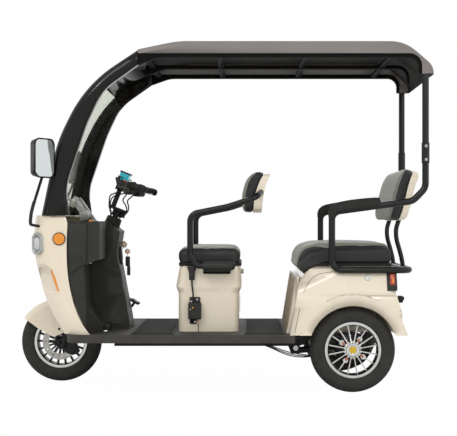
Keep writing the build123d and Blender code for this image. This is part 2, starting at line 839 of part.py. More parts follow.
# ---- rear posts, and the rail that makes the armrests and runs round the bench ----
sleeve_low = 1123.0
sleeve_high = 1223.0
sleeve_radius = 19.5
rail_z = rear_body_top - 17.0
rail_front_x = -548.0
rail_rear_x = -932.0
rail_low_path = (
    (post_x, post_y, (sleeve_low + sleeve_high) / 2),
    (post_x, post_y, 1002),
    (post_x + 62, post_y, 938),
    (rail_front_x, post_y, 884),
    (rail_front_x, post_y, rail_z),
    (rail_rear_x, post_y, rail_z),
    (rail_rear_x, 0, rail_z),
)

with BuildPart() as rear_posts:
    for sign in sides.values():
        with BuildSketch(Plane.XY.offset((sleeve_low + sleeve_high) / 2)):
            with Locations((post_x, sign * post_y)):
                Circle(post_radius)
        extrude(amount=roof_end_z - (sleeve_low + sleeve_high) / 2)
rear_posts.part.label = "rear_posts"
export_step(rear_posts.part, "parts/rear_posts.step")

with BuildPart() as rear_rail:
    with BuildLine() as rail_path:
        FilletPolyline(*rail_low_path, radius=(60, 60, 44, 50, 60))
    with BuildSketch(tube_plane(rail_path.line)):
        Circle(post_radius)
    sweep(path=rail_path.line)
    with BuildSketch(Plane.XY.offset(sleeve_low)):
        with Locations((post_x, post_y)):
            Circle(sleeve_radius)
    extrude(amount=sleeve_high - sleeve_low)
    with BuildSketch(Plane.XY.offset((sleeve_low + sleeve_high) / 2)):
        with Locations((post_x, post_y)):
            Circle(post_radius)
    extrude(amount=sleeve_high - sleeve_low, mode=Mode.SUBTRACT)
    mirror(about=Plane.XZ)
rear_rail.part.label = "rear_rail"
export_step(rear_rail.part, "parts/rear_rail.step")

pad_radius = 24.0
with BuildPart() as armrest_pads:
    for sign in sides.values():
        pad_front = Vector(-598, sign * post_y, 0)
        pad_slope = (884 - 938) / (rail_front_x - (post_x + 62))
        rear_point = Vector(-860, sign * post_y, 938 + pad_slope * (-860 - (post_x + 62)))
        front_point = Vector(-625, sign * post_y, 938 + pad_slope * (-625 - (post_x + 62)))
        pad_plane = Plane(origin=rear_point, x_dir=(0, 1, 0), z_dir=front_point - rear_point)
        with BuildSketch(pad_plane):
            Circle(pad_radius)
            Circle(post_radius, mode=Mode.SUBTRACT)
        extrude(amount=(front_point - rear_point).length)
armrest_pads.part.label = "armrest_pads"
export_step(armrest_pads.part, "parts/armrest_pads.step")

# ---- driver's seat box, battery and control box ----
box_waist_low = 476.0
box_waist_high = 509.0
box_step = 12.0
box_corner = 40.0
box_draw = 6.0
louvre_count = 7
louvre_low = 376.0
louvre_pitch = 12.0
louvre_width = 220.0
battery_size = (250.0, 420.0, 210.0)


def seat_box_outline(height, inset):
    """The seat box's plan at one height, with its rounded corners."""
    with BuildSketch(Plane.XY.offset(height)) as outline:
        with Locations(((driver_box_front + driver_box_rear) / 2, 0)):
            RectangleRounded(
                driver_box_front - driver_box_rear - 2 * inset, 2 * (driver_box_half - inset), box_corner - 0.5 * inset
            )
    return outline.sketch


with BuildPart() as driver_seat_box:
    extrude(seat_box_outline(floor_top, box_step), amount=box_waist_low - floor_top)
    loft([seat_box_outline(box_waist_low, box_step), seat_box_outline(box_waist_high, 0)])
    loft([seat_box_outline(box_waist_high, 0), seat_box_outline(driver_box_top, box_draw)])
    extrude(seat_box_outline(floor_top, box_step + wall), amount=driver_box_top - floor_top, mode=Mode.SUBTRACT)
    extrude(seat_box_outline(box_waist_high + wall, wall + box_draw), amount=driver_box_top, mode=Mode.SUBTRACT)
    # a flange round the top carries the seat
    extrude(seat_box_outline(driver_box_top - wall, box_draw), amount=wall)
    extrude(seat_box_outline(driver_box_top - wall, 26), amount=wall, mode=Mode.SUBTRACT)
    # louvres and the lock on the rear face
    for louvre in range(louvre_count):
        with BuildSketch(Plane.XY.offset(louvre_low + louvre * louvre_pitch)):
            with Locations((driver_box_rear + box_step - 1, 0)):
                Rectangle(8, louvre_width)
        extrude(amount=4, taper=35)
    with BuildSketch(Plane.YZ.offset(driver_box_rear - 10)):
        with Locations((0, 576)):
            Circle(13)
    extrude(amount=16)
driver_seat_box.part.label = "driver_seat_box"
export_step(driver_seat_box.part, "parts/driver_seat_box.step")

with BuildPart() as battery_pack:
    with BuildSketch(Plane.XY.offset(floor_top)):
        with Locations(((driver_box_front + driver_box_rear) / 2, 0)):
            RectangleRounded(battery_size[0], battery_size[1], 8)
    extrude(amount=battery_size[2])
battery_pack.part.label = "battery_pack"
export_step(battery_pack.part, "parts/battery_pack.step")

# ---- driver's backrest on its bent tube ----
socket_z = 617.0
socket_rear = -73.0
socket_front = 87.0
socket_radius = 20.0
driver_rail_path = (
    (socket_front - 30, driver_rail_y, socket_z),
    (120, driver_rail_y, socket_z),
    (150, driver_rail_y, 668),
    (150, driver_rail_y, 874),
    (-40, driver_rail_y, 912),
    (-178, driver_rail_y, 958),
    (-204, 226, 986),
    (-204, 0, 986),
)
driver_rail_bends = (36, 50, 45, 300, 55, 40)
backrest_low = 880.0
backrest_high = 1095.0
driver_back_half = 235.0

with BuildPart() as driver_seat_rail:
    with BuildLine() as driver_path:
        FilletPolyline(*driver_rail_path, radius=driver_rail_bends)
    with BuildSketch(tube_plane(driver_path.line)):
        Circle(driver_tube_radius)
    sweep(path=driver_path.line)
    # the socket that takes the tube's end, on the bracket that bolts to the side of the seat box
    with BuildSketch(Plane.YZ.offset(socket_rear)):
        with Locations((driver_rail_y, socket_z)):
            Circle(socket_radius)
    extrude(amount=socket_front - socket_rear)
    fillet(driver_seat_rail.edges().filter_by(lambda e: abs(e.center().X - socket_rear) < 1), 12)
    with BuildSketch(side_plane(driver_rail_y + 6)):
        with Locations(((socket_front + socket_rear) / 2 + 10, socket_z - 29)):
            RectangleRounded(socket_front - socket_rear - 24, 22, 6)
    extrude(amount=driver_rail_y + 6 - driver_box_half + 3)
    with BuildSketch(side_plane(driver_rail_y)):
        with Locations(((socket_front + socket_rear) / 2, socket_z - 12)):
            Rectangle(socket_front - socket_rear - 30, 24)
    extrude(amount=driver_rail_y - driver_box_half - soft_clearance)
    mirror(about=Plane.XZ)
    add(driver_seat_box.part, mode=Mode.SUBTRACT)
driver_seat_rail.part.label = "driver_seat_rail"
export_step(driver_seat_rail.part, "parts/driver_seat_rail.step")

with BuildPart() as driver_backrest_shell:
    with BuildSketch(Plane.XZ):
        with BuildLine():
            FilletPolyline(
                (-166, backrest_low),
                (-206, backrest_low),
                (-252, backrest_high - 20),
                (-232, backrest_high),
                (-196, backrest_high),
                radius=(4, 10, 14, 14, 10),
                close=True,
            )
        make_face()
    extrude(amount=driver_back_half - 6, both=True)
    add(driver_seat_rail.part, mode=Mode.SUBTRACT)
driver_backrest_shell.part.label = "driver_backrest_shell"
export_step(driver_backrest_shell.part, "parts/driver_backrest_shell.step")

with BuildPart() as driver_backrest_pad:
    with BuildSketch(Plane.XZ):
        with BuildLine():
            FilletPolyline(
                (-165.4, backrest_low + 4),
                (-124, backrest_low + 2),
                (-118, backrest_low + 30),
                (-160, backrest_high - 8),
                (-195.4, backrest_high - 4),
                radius=(4, 12, 20, 16, 4),
                close=True,
            )
        make_face()
    extrude(amount=driver_back_half, both=True)
driver_backrest_pad.part.label = "driver_backrest_pad"
export_step(driver_backrest_pad.part, "parts/driver_backrest_pad.step")

# ---- the driver's seat that lifts on a hinge at its front edge ----
seat_base_depth = 15.0
cushion_depth = 78.0
with BuildPart() as driver_seat_base:
    extrude(seat_box_outline(driver_box_top + soft_clearance, 1), amount=seat_base_depth)
driver_seat_base.part.label = "driver_seat_base"
export_step(driver_seat_base.part, "parts/driver_seat_base.step")

with BuildPart() as driver_seat_cushion:
    extrude(
        seat_box_outline(driver_box_top + 2 * soft_clearance + seat_base_depth, 4),
        amount=cushion_depth,
    )
    fillet(driver_seat_cushion.edges().group_by(Axis.Z)[-1], 22)
driver_seat_cushion.part.label = "driver_seat_cushion"
export_step(driver_seat_cushion.part, "parts/driver_seat_cushion.step")

# ---- rear body ----
well_inner = rear_track_half - tyre_width / 2 - wheel_clearance
rear_body_front = -343.0
rear_body_rear = -857.0
tail_x = -887.0
flare = 5.0
flare_width = 56.0
shoulder_half = 386.0
shoulder_bend = 110.0
lean_z = 452.0
lean_bend = 170.0
front_board = (-328.0, -374.0, 566.0, 336.0)
board_thickness = 18.0
rail_stays = (-640.0, -850.0)
bin_floor_z = rear_rail_z + rail_size / 2
tail_lamp_box = (-866.0, -817.0, 360.0, 500.0, 590.0)


def rear_body_profile(inset):
    """The rear body's side view, drawn in by the inset."""
    with BuildSketch(Plane.XZ) as profile:
        with BuildLine():
            edge = FilletPolyline(
                (rear_body_front, floor_top),
                (rear_body_front - 26, 420),
                (rear_body_front - 62, rear_body_top),
                (rear_body_rear, rear_body_top),
                (rear_body_rear, 490),
                (tail_x, 395),
                (tail_x, 292),
                radius=(300, shoulder_bend, 26, 80, 60),
            )
            Line(edge @ 1, edge @ 0)
        make_face()
        if inset:
            offset(amount=-inset)
    return profile.sketch


def rear_body_section(inset):
    """The rear body's view from behind, whose sides lean in above the wheels."""
    with BuildSketch(Plane.YZ.offset(tail_x - 10)) as section:
        with BuildLine():
            half = FilletPolyline(
                (0, floor_bottom - 60 - inset),
                (body_half - inset, floor_bottom - 60 - inset),
                (body_half - inset, lean_z),
                (shoulder_half - inset, rear_body_top - 8 - inset),
                (shoulder_half - 40 - inset, rear_body_top - inset + 0.01),
                (0, rear_body_top - inset + 0.01),
                radius=(2, lean_bend, 12, 20),
            )
            Line(half @ 1, half @ 0)
        make_face()
        mirror(about=Plane.YZ)
    return section.sketch


def rear_body_form(inset):
    """The rear body's outer form, or with an inset the space inside it."""
    with BuildPart() as form:
        extrude(rear_body_profile(inset), amount=body_half, both=True)
        extrude(rear_body_section(inset), amount=rear_body_front - tail_x + 40, mode=Mode.INTERSECT)
    return form.part


with BuildPart() as rear_cavity:
    add(rear_body_form(wall))
    with BuildSketch(Plane.XY.offset(floor_bottom)):
        with Locations(((rear_body_front + tail_x) / 2 - 8, 0)):
            Rectangle(rear_body_front - tail_x - 36, 2 * (body_half - wall))
    extrude(amount=floor_depth + 30)
    # the walls of the wheel wells and the bin's floor stay
    for sign in sides.values():
        with BuildSketch(wheel_plane(rear_axle_x, sign * body_half)):
            Circle(arch_radius + wall)
        extrude(amount=sign * (body_half - well_inner + wall), mode=Mode.SUBTRACT)
    with BuildSketch(Plane.XY.offset(bin_floor_z)):
        with Locations(((rear_body_front + tail_x) / 2, 0)):
            Rectangle(700, 2 * body_half)
    extrude(amount=wall, mode=Mode.SUBTRACT)

with BuildPart() as rear_body:
    add(rear_body_form(0))
    for sign in sides.values():
        with BuildSketch(wheel_plane(rear_axle_x, sign * (body_half - 2))):
            Circle(arch_radius + flare_width)
        extrude(amount=-sign * (flare + 2), taper=40)
    add(rear_cavity.part, mode=Mode.SUBTRACT)
    for sign in sides.values():
        with BuildSketch(wheel_plane(rear_axle_x, sign * (body_half + 2 * flare))):
            Circle(arch_radius)
        extrude(amount=sign * (body_half + 2 * flare - well_inner), mode=Mode.SUBTRACT)
        with BuildSketch(side_plane(sign * (body_half + 2 * flare))):
            with Locations((rear_axle_x, 0)):
                Rectangle(800, 2 * floor_top)
        extrude(amount=sign * 4 * flare, mode=Mode.SUBTRACT)
        # seats for the lamps
        low_x, high_x, lamp_y, low_z, high_z = tail_lamp_box
        with BuildSketch(side_plane(sign * (body_half + 20))):
            with Locations(((low_x + high_x) / 2, (low_z + high_z) / 2)):
                Rectangle(high_x - low_x + 2 * soft_clearance, high_z - low_z + 2 * soft_clearance)
        extrude(amount=sign * (body_half + 20 - lamp_y + soft_clearance), mode=Mode.SUBTRACT)
        # stays that carry the rail along the side
        for stay_x in rail_stays:
            with BuildSketch(side_plane(sign * (post_y - post_radius + 2))):
                with Locations((stay_x, rail_z)):
                    RectangleRounded(34, 14, 4)
            extrude(amount=sign * (post_y - post_radius + 2 - shoulder_half + 12))
    # the board across the front of the bench
    with BuildSketch(Plane.XZ):
        Polygon(
            (front_board[0], floor_top),
            (front_board[1], front_board[2]),
            (front_board[1] - board_thickness, front_board[2]),
            (front_board[0] - board_thickness - 12, floor_top),
            align=None,
        )
    extrude(amount=front_board[3], both=True)
    with BuildSketch(Plane.XY.offset(rear_body_top - 2 * wall)):
        with Locations((-655, 0)):
            RectangleRounded(320, 600, 40)
    extrude(amount=4 * wall, mode=Mode.SUBTRACT)
    add(rear_rail.part, mode=Mode.SUBTRACT)
rear_body.part.label = "rear_body"
export_step(rear_body.part, "parts/rear_body.step")

with BuildPart() as tail_lamps:
    low_x, high_x, lamp_y, low_z, high_z = tail_lamp_box
    for sign in sides.values():
        with BuildSketch(side_plane(sign * (body_half + 3))):
            with Locations(((low_x + high_x) / 2, (low_z + high_z) / 2)):
                RectangleRounded(high_x - low_x, high_z - low_z, 6)
        extrude(amount=sign * (body_half + 3 - lamp_y))
    extrude(rear_body_section(-3), amount=200, mode=Mode.INTERSECT)
    add(rear_rail.part, mode=Mode.SUBTRACT)
    # round reflectors low on the tail
    with BuildSketch(Plane.YZ.offset(tail_x - 6)):
        with Locations((395, 344), (-395, 344)):
            Circle(13)
    extrude(amount=6)
tail_lamps.part.label = "tail_lamps"
export_step(tail_lamps.part, "parts/tail_lamps.step")

with BuildPart() as plate_lamp:
    with BuildSketch(Plane.YZ.offset(tail_x - 24)):
        with Locations((0, 372)):
            RectangleRounded(110, 26, 6)
    extrude(amount=24)
plate_lamp.part.label = "plate_lamp"
export_step(plate_lamp.part, "parts/plate_lamp.step")

# ---- bench that lifts on a hinge at its front edge ----
bench_rear = -850.0
bench_low = 631.0
bench_side_top = 697.0
bench_crown = 722.0
bench_outline = (
    (bench_rear, bench_side_top),
    (-500, bench_side_top),
    (-425, 684),
    (-374, 640),
    (-370, 600),
    (-388, 586),
    (-412, 596),
    (-455, 618),
    (-500, bench_low),
    (bench_rear, bench_low),
)
bench_bends = (200, 60, 40, 24, 8, 30, 60, 60, 14)
with BuildPart() as rear_seat_base:
    with BuildSketch(Plane.XZ):
        with BuildLine():
            bench_underside = FilletPolyline(
                (-414.5, 594),
                (-455, 617.4),
                (-500, bench_low - soft_clearance),
                (bench_rear + 4, bench_low - soft_clearance),
                radius=(40, 60),
            )
            Polyline(bench_underside @ 1, (bench_rear + 4, 570), (-414.5, 570), bench_underside @ 0)
        make_face()
        add(rear_body_profile(-soft_clearance), mode=Mode.SUBTRACT)
    extrude(amount=rear_seat_half - 6, both=True)
rear_seat_base.part.label = "rear_seat_base"
export_step(rear_seat_base.part, "parts/rear_seat_base.step")

with BuildPart() as rear_seat_cushion:
    with BuildSketch(Plane.XZ):
        with BuildLine():
            FilletPolyline(*bench_outline, radius=(14, *bench_bends), close=True)
        make_face()
    extrude(amount=rear_seat_half, both=True)
    # the crowned top between the piped edges
    with BuildSketch(Plane.XZ):
        with BuildLine():
            FilletPolyline(
                (bench_rear + 12, bench_low + 20),
                (bench_rear + 12, bench_crown - 6),
                (-600, bench_crown),
                (-460, bench_crown - 4),
                (-385, 698),
                (-352, 652),
                (-362, 606),
                (-400, 602),
                (-440, 622),
                (-500, bench_low + 12),
                radius=(6, 14, 300, 120, 60, 34, 16, 10, 20, 40),
                close=True,
            )
        make_face()
    extrude(amount=rear_seat_half - 40, both=True)
rear_seat_cushion.part.label = "rear_seat_cushion"
export_step(rear_seat_cushion.part, "parts/rear_seat_cushion.step")

# ---- bench's backrest ----
bench_back_half = 330.0
support_y = 180.0
support_radius = 11.0
with BuildPart() as rear_backrest_shell:
    with BuildSketch(Plane.XZ):
        with BuildLine():
            FilletPolyline(
                (-914, 850),
                (-938, 850),
                (-990, 1074),
                (-976, 1096),
                (-962, 1090),
                radius=(4, 8, 12, 8, 6),
                close=True,
            )
        make_face()
    extrude(amount=bench_back_half - 5, both=True)
rear_backrest_shell.part.label = "rear_backrest_shell"
export_step(rear_backrest_shell.part, "parts/rear_backrest_shell.step")

with BuildPart() as rear_backrest_pad:
    with BuildSketch(Plane.XZ):
        with BuildLine():
            FilletPolyline(
                (-913.4, 850),
                (-858, 838),
                (-843, 868),
                (-896, 1090),
                (-935, 1106),
                (-961.4, 1090),
                radius=(4, 14, 24, 26, 12, 4),
                close=True,
            )
        make_face()
    extrude(amount=bench_back_half, both=True)
rear_backrest_pad.part.label = "rear_backrest_pad"
export_step(rear_backrest_pad.part, "parts/rear_backrest_pad.step")

with BuildPart() as backrest_supports:
    with BuildLine() as support_path:
        FilletPolyline(
            (rail_rear_x + 4, support_y, rail_z),
            (rail_rear_x + 6, support_y, 665),
            (-888, support_y, 745),
            (-890, support_y, 800),
            (-926, support_y, 849.7),
            radius=(40, 60, 40),
        )
    with BuildSketch(tube_plane(support_path.line)):
        Circle(support_radius)
    sweep(path=support_path.line)
    mirror(about=Plane.XZ)
    add(rear_rail.part, mode=Mode.SUBTRACT)
    add(rear_backrest_shell.part, mode=Mode.SUBTRACT)
backrest_supports.part.label = "backrest_supports"
export_step(backrest_supports.part, "parts/backrest_supports.step")

# ---- fork, with the stem that turns in the head tube ----
crown_low = 262.0
crown_depth = 28.0
stanchion_radius = 14.0
slider_top = 190.0
leg_foot = -24.0
lug_half = 14.0
lug_radius = 19.0
fender_bolt = (-1.0, 71.5)
ear_thickness = 6.0
collar_radius = 28.0
collar_depth = 7.0
link_height = 738.0
link_depth = 14.0
link_lead = 30.0
riser_radius = 13.0
riser_top = 840.0
clamp_depth = 34.0
bracket_y = 58.0
bracket_depth = 8.0

with BuildPart() as fork:
    for sign in sides.values():
        with BuildSketch(steer_plane(leg_foot)):
            with Locations((0, sign * fork_half)):
                Circle(fork_leg_radius)
        extrude(amount=slider_top - leg_foot)
        with BuildSketch(steer_plane(slider_top)):
            with Locations((0, sign * fork_half)):
                Circle(stanchion_radius)
        extrude(amount=crown_low - slider_top)
        # the lug ahead of the leg's foot holds the axle
        with BuildSketch(wheel_plane(front_axle_x, sign * (fork_half + lug_half))):
            Circle(lug_radius)
            Polygon((0, lug_radius), (0, -lug_radius), (-fork_lead, -lug_radius), (-fork_lead - 8, lug_radius), align=None)
        extrude(amount=sign * 2 * lug_half)
        # the ear that the fender bolts to
        with BuildSketch(wheel_plane(front_axle_x, sign * (fork_half + fork_leg_radius))):
            with BuildLine():
                Polyline((-40, 40), (fender_bolt[0] - 6, fender_bolt[1] - 10), (fender_bolt[0] + 9, fender_bolt[1] - 6),
                         (fender_bolt[0] + 6, fender_bolt[1] + 10), (-40, 92), close=True)
            make_face()
        extrude(amount=sign * ear_thickness)
    with BuildSketch(steer_plane(crown_low)):
        RectangleRounded(52, 2 * (fork_half + fork_leg_radius + 4), 20)
    extrude(amount=crown_depth)
    with BuildSketch(steer_plane(crown_low + crown_depth)):
        Circle(stem_radius)
    extrude(amount=link_height - crown_low - crown_depth)
    # the collar inside the boot, where the control cables end
    with BuildSketch(steer_plane(boot_low + 8)):
        Circle(collar_radius)
    extrude(amount=collar_depth)
    with BuildSketch(wheel_plane(front_axle_x, fork_half + fork_leg_radius + 6)):
        Circle(axle_radius)
    extrude(amount=2 * (fork_half + fork_leg_radius + 6))
    # the plate that carries the brake caliper, on the left leg
    with BuildSketch(wheel_plane(front_axle_x, bracket_y + bracket_depth)):
        Polygon((-4, 22), (-60, 6), (-84, -20), (-66, -66), (-40, -60), (2, -24), align=None)
    extrude(amount=bracket_depth)
fork.part.label = "fork"
export_step(fork.part, "parts/fork.step")

with BuildPart() as brake_caliper:
    with BuildSketch(wheel_plane(front_axle_x, bracket_y)):
        with Locations((-69, -32)):
            RectangleRounded(44, 66, 10, rotation=-24)
    extrude(amount=24)
    with BuildSketch(wheel_plane(front_axle_x, disc_y + disc_thickness / 2 + 1.5)):
        Circle(disc_radius + 2)
    extrude(amount=disc_thickness + 3, mode=Mode.SUBTRACT)
brake_caliper.part.label = "brake_caliper"
export_step(brake_caliper.part, "parts/brake_caliper.step")

# ---- front fender ----
fender_gap = 13.0
fender_wall = 3.0
fender_half = 96.0
fender_corner = 34.0


def fender_form(inset):
    """The fender's outer form, or with an inset the space inside it."""
    reach = tyre_radius + fender_gap + fender_wall - inset
    with BuildPart() as form:
        with BuildSketch(wheel_plane(front_axle_x, fender_half - inset)):
            Circle(reach)
            with BuildLine():
                Polyline(
                    (300, 190),
                    (164, 116 - inset),
                    (107, 74 - inset),
                    (50, 42 - inset),
                    (20, 33 - inset),
                    (-15, 48 - inset),
                    (-110, 100 - inset),
                    (-300, 130),
                    (-300, 300),
                    (300, 300),
                    close=True,
                )
            make_face(mode=Mode.INTERSECT)
        extrude(amount=2 * (fender_half - inset))
        rounded = form.edges().filter_by(GeomType.CIRCLE).filter_by(lambda e: e.radius > reach - 1)
        fillet(rounded, fender_corner - inset)
    return form.part


with BuildPart() as front_fender:
    add(fender_form(0))
    add(fender_form(fender_wall), mode=Mode.SUBTRACT)
    with BuildSketch(wheel_plane(front_axle_x, fender_half - fender_wall)):
        with BuildLine():
            Polyline((-140, 96), (-15, 30), (20, 16), (110, 50), (190, 100), (20, 100), close=True)
        make_face()
    extrude(amount=2 * (fender_half - fender_wall), mode=Mode.SUBTRACT)
    for sign in sides.values():
        with BuildSketch(steer_plane(60)):
            with Locations((0, sign * fork_half)):
                Circle(fork_leg_radius + soft_clearance)
        extrude(amount=200, mode=Mode.SUBTRACT)
        # the boss where the fender bolts to the fork's ear
        with BuildSketch(wheel_plane(front_axle_x, sign * (fender_half - fender_wall))):
            with Locations(fender_bolt):
                Circle(8)
        extrude(amount=sign * 14)
    add(fork.part, mode=Mode.SUBTRACT)
front_fender.part.label = "front_fender"
export_step(front_fender.part, "parts/front_fender.step")

# ---- handlebar and what is on it ----
bar_radius = 11.0
grip_radius = 16.0
grip_length = 118.0
clamp_point = on_steer(riser_top + clamp_depth / 2) + steer_forward * link_lead
bar_end = Vector(392, 352, 1006)
bar_bend = Vector(474, 200, 1016)
bar_path = (
    clamp_point,
    clamp_point + Vector(0, 62, 0),
    clamp_point + Vector(-16, 112, 14),
    bar_bend,
    bar_end,
)

with BuildPart() as handlebar:
    with BuildLine() as bar_line:
        FilletPolyline(*bar_path, radius=(45, 60, 90))
    with BuildSketch(tube_plane(bar_line.line)):
        Circle(bar_radius)
    sweep(path=bar_line.line)
    mirror(about=Plane.XZ)
    with BuildSketch(steer_plane(riser_top)):
        with Locations((link_lead, 0)):
            RectangleRounded(44, 92, 12)
    extrude(amount=clamp_depth)
    # the riser stands ahead of the stem, on a link clamped round the stem's end
    with BuildSketch(steer_plane(link_height + link_depth)):
        with Locations((link_lead, 0)):
            Circle(riser_radius)
    extrude(amount=riser_top - link_height - link_depth)
    with BuildSketch(steer_plane(link_height)) as link_outline:
        with BuildLine():
            Polyline(
                (link_lead + 22, 14),
                (link_lead, 34),
                (-30, 30),
                (-46, 20),
                (-46, -20),
                (-30, -30),
                (link_lead, -34),
                (link_lead + 22, -14),
                close=True,
            )
        make_face()
        fillet(link_outline.vertices(), 6)
    extrude(amount=link_depth)
    with BuildSketch(steer_plane(link_height - 26)):
        with Locations((-34, 0)):
            RectangleRounded(24, 40, 6)
    extrude(amount=26)
    with BuildSketch(steer_plane(link_height - 30)):
        Circle(stem_radius + 8)
        Circle(stem_radius, mode=Mode.SUBTRACT)
    extrude(amount=30)
handlebar.part.label = "handlebar"
export_step(handlebar.part, "parts/handlebar.step")

bar_direction = (bar_end - bar_bend).normalized()
mirrored = {1: lambda v: v, -1: lambda v: Vector(v.X, -v.Y, v.Z)}
with BuildPart() as grips:
    for sign in sides.values():
        reflect = mirrored[sign]
        with BuildSketch(Plane(origin=reflect(bar_end + bar_direction * 3), z_dir=reflect(bar_direction * -1))):
            Circle(grip_radius)
        extrude(amount=grip_length)
        with BuildSketch(Plane(origin=reflect(bar_end), z_dir=reflect(bar_direction * -1))):
            Circle(bar_radius)
        extrude(amount=grip_length, mode=Mode.SUBTRACT)
grips.part.label = "grips"
export_step(grips.part, "parts/grips.step")

housing_size = (66.0, 56.0)
housing_length = 44.0
reservoir_radius = 12.0
reservoir_height = 34.0
lever_radius = 4.5
with BuildPart() as hand_controls:
    for sign in sides.values():
        reflect = mirrored[sign]
        housing_end = bar_end - bar_direction * (grip_length - 1)
        with BuildSketch(Plane(origin=reflect(housing_end), x_dir=(0, 0, 1), z_dir=reflect(bar_direction * -1))):
            with Locations((-8, 0)):
                RectangleRounded(housing_size[0], housing_size[1], 16)
        extrude(amount=housing_length)
        with BuildSketch(Plane(origin=reflect(housing_end), z_dir=reflect(bar_direction * -1))):
            Circle(bar_radius)
        extrude(amount=housing_length, mode=Mode.SUBTRACT)
        # the brake's reservoir stands ahead of the bar, on its clamp
        reservoir = housing_end - bar_direction * (housing_length + 12) + Vector(44, 0, 14)
        with BuildSketch(Plane(origin=reflect(reservoir), z_dir=(0.2, 0, 1))):
            Circle(reservoir_radius)
        extrude(amount=reservoir_height)
        with BuildSketch(Plane(origin=reflect(reservoir + Vector(4, 0, 8)), z_dir=reflect(Vector(-44, 0, -20)))):
            RectangleRounded(20, 20, 5)
        extrude(amount=42)
        # the brake lever, from its pivot on the housing out past the grip
        lever_start = housing_end - bar_direction * 24 + Vector(24, 6, 0)
        with BuildLine() as lever_line:
            FilletPolyline(
                reflect(lever_start),
                reflect(lever_start + Vector(32, 18, -2)),
                reflect(lever_start + Vector(0, 92, -8)),
                reflect(lever_start + Vector(-34, 152, -16)),
                radius=(16, 60),
            )
        with BuildSketch(tube_plane(lever_line.line)):
            Circle(lever_radius)
        sweep(path=lever_line.line)
    add(handlebar.part, mode=Mode.SUBTRACT)
hand_controls.part.label = "hand_controls"
export_step(hand_controls.part, "parts/hand_controls.step")

cable_radius = 3.5


def on_stem(height, forward, left):
    """A point beside the steering axis."""
    return on_steer(height) + steer_forward * forward + Vector(0, left, 0)


cable_start = bar_end - bar_direction * (grip_length - 1 + housing_length)
cable_end = boot_low + 8 + collar_depth
# two cables a side: one ahead of the link, one behind it
cable_routes = (
    (
        cable_start + Vector(14, 0, -12),
        cable_start + Vector(22, -34, -16),
        on_stem(806, 50, 108),
        on_stem(796, 58, 66),
        on_stem(772, 58, 30),
        on_stem(738, 46, 16),
        on_stem(706, 22, 9),
        on_stem(cable_end + 26, 20, 8),
        on_stem(cable_end, 20, 8),
    ),
    (
        cable_start + Vector(-6, 0, -24),
        cable_start + Vector(4, -36, -28),
        on_stem(800, -14, 112),
        on_stem(782, -36, 70),
        on_stem(758, -50, 36),
        on_stem(726, -42, 18),
        on_stem(704, -21, 9),
        on_stem(cable_end + 26, -20, 8),
        on_stem(cable_end, -20, 8),
    ),
)
with BuildPart() as control_cables:
    for sign in sides.values():
        reflect = mirrored[sign]
        for route in cable_routes:
            points = [tuple(reflect(point)) for point in route]
            radii = bend_radii(points)
            print("cable bends", [round(bend) for bend in radii])
            with BuildLine() as cable_line:
                FilletPolyline(*points, radius=radii)
            with BuildSketch(tube_plane(cable_line.line)):
                Circle(cable_radius)
            sweep(path=cable_line.line)
    add(handlebar.part, mode=Mode.SUBTRACT)
    add(hand_controls.part, mode=Mode.SUBTRACT)
control_cables.part.label = "control_cables"
export_step(control_cables.part, "parts/control_cables.step")

with BuildPart() as display_unit:
    with BuildSketch(steer_plane(riser_top + clamp_depth)):
        with Locations((link_lead, 0)):
            RectangleRounded(30, 50, 8)
    extrude(amount=22)
    with BuildSketch(steer_plane(riser_top + clamp_depth + 22)):
        with Locations((link_lead, 0)):
            RectangleRounded(50, 112, 14)
    extrude(amount=38)
display_unit.part.label = "display_unit"
export_step(display_unit.part, "parts/display_unit.step")

# ---- mirrors ----
mirror_turn = 19.0
mirror_centre = Vector(839, 500, 1143)
mirror_size = (150.0, 192.0, 34.0)
stalk_radius = 7.0
stalk_path = ((874, 378, 812), (926, 414, 822), (920, 430, 880), (856, 488, 1062))


def mirror_plane(sign, forward):
    """The plane of a mirror's back, set forward of its glass, facing behind and outwards."""
    facing = Vector(-cos(radians(mirror_turn)), sign * sin(radians(mirror_turn)), 0)
    place = Vector(mirror_centre.X, sign * mirror_centre.Y, mirror_centre.Z)
    across = Vector(sin(radians(mirror_turn)), sign * cos(radians(mirror_turn)), 0) * -sign
    return Plane(origin=place - facing * forward, x_dir=(across.X, across.Y, 0), z_dir=facing)


with BuildPart() as mirror_housings:
    for sign in sides.values():
        reflect = mirrored[sign]
        with BuildLine() as stalk_line:
            FilletPolyline(*[reflect(Vector(*p)) for p in stalk_path], radius=(14, 40))
        with BuildSketch(tube_plane(stalk_line.line)):
            Circle(stalk_radius)
        sweep(path=stalk_line.line)
        with BuildSketch(mirror_plane(sign, 0)):
            RectangleRounded(mirror_size[0], mirror_size[1], 34)
        extrude(amount=-mirror_size[2], taper=14)
        with BuildSketch(mirror_plane(sign, 3)):
            RectangleRounded(mirror_size[0] - 14, mirror_size[1] - 14, 28)
        extrude(amount=40, mode=Mode.SUBTRACT)
    add(cowl_form(0), mode=Mode.SUBTRACT)
mirror_housings.part.label = "mirror_housings"
export_step(mirror_housings.part, "parts/mirror_housings.step")

with BuildPart() as mirror_glasses:
    for sign in sides.values():
        with BuildSketch(mirror_plane(sign, 3)):
            RectangleRounded(mirror_size[0] - 14.6, mirror_size[1] - 14.6, 27.7)
        extrude(amount=2)
mirror_glasses.part.label = "mirror_glasses"
export_step(mirror_glasses.part, "parts/mirror_glasses.step")

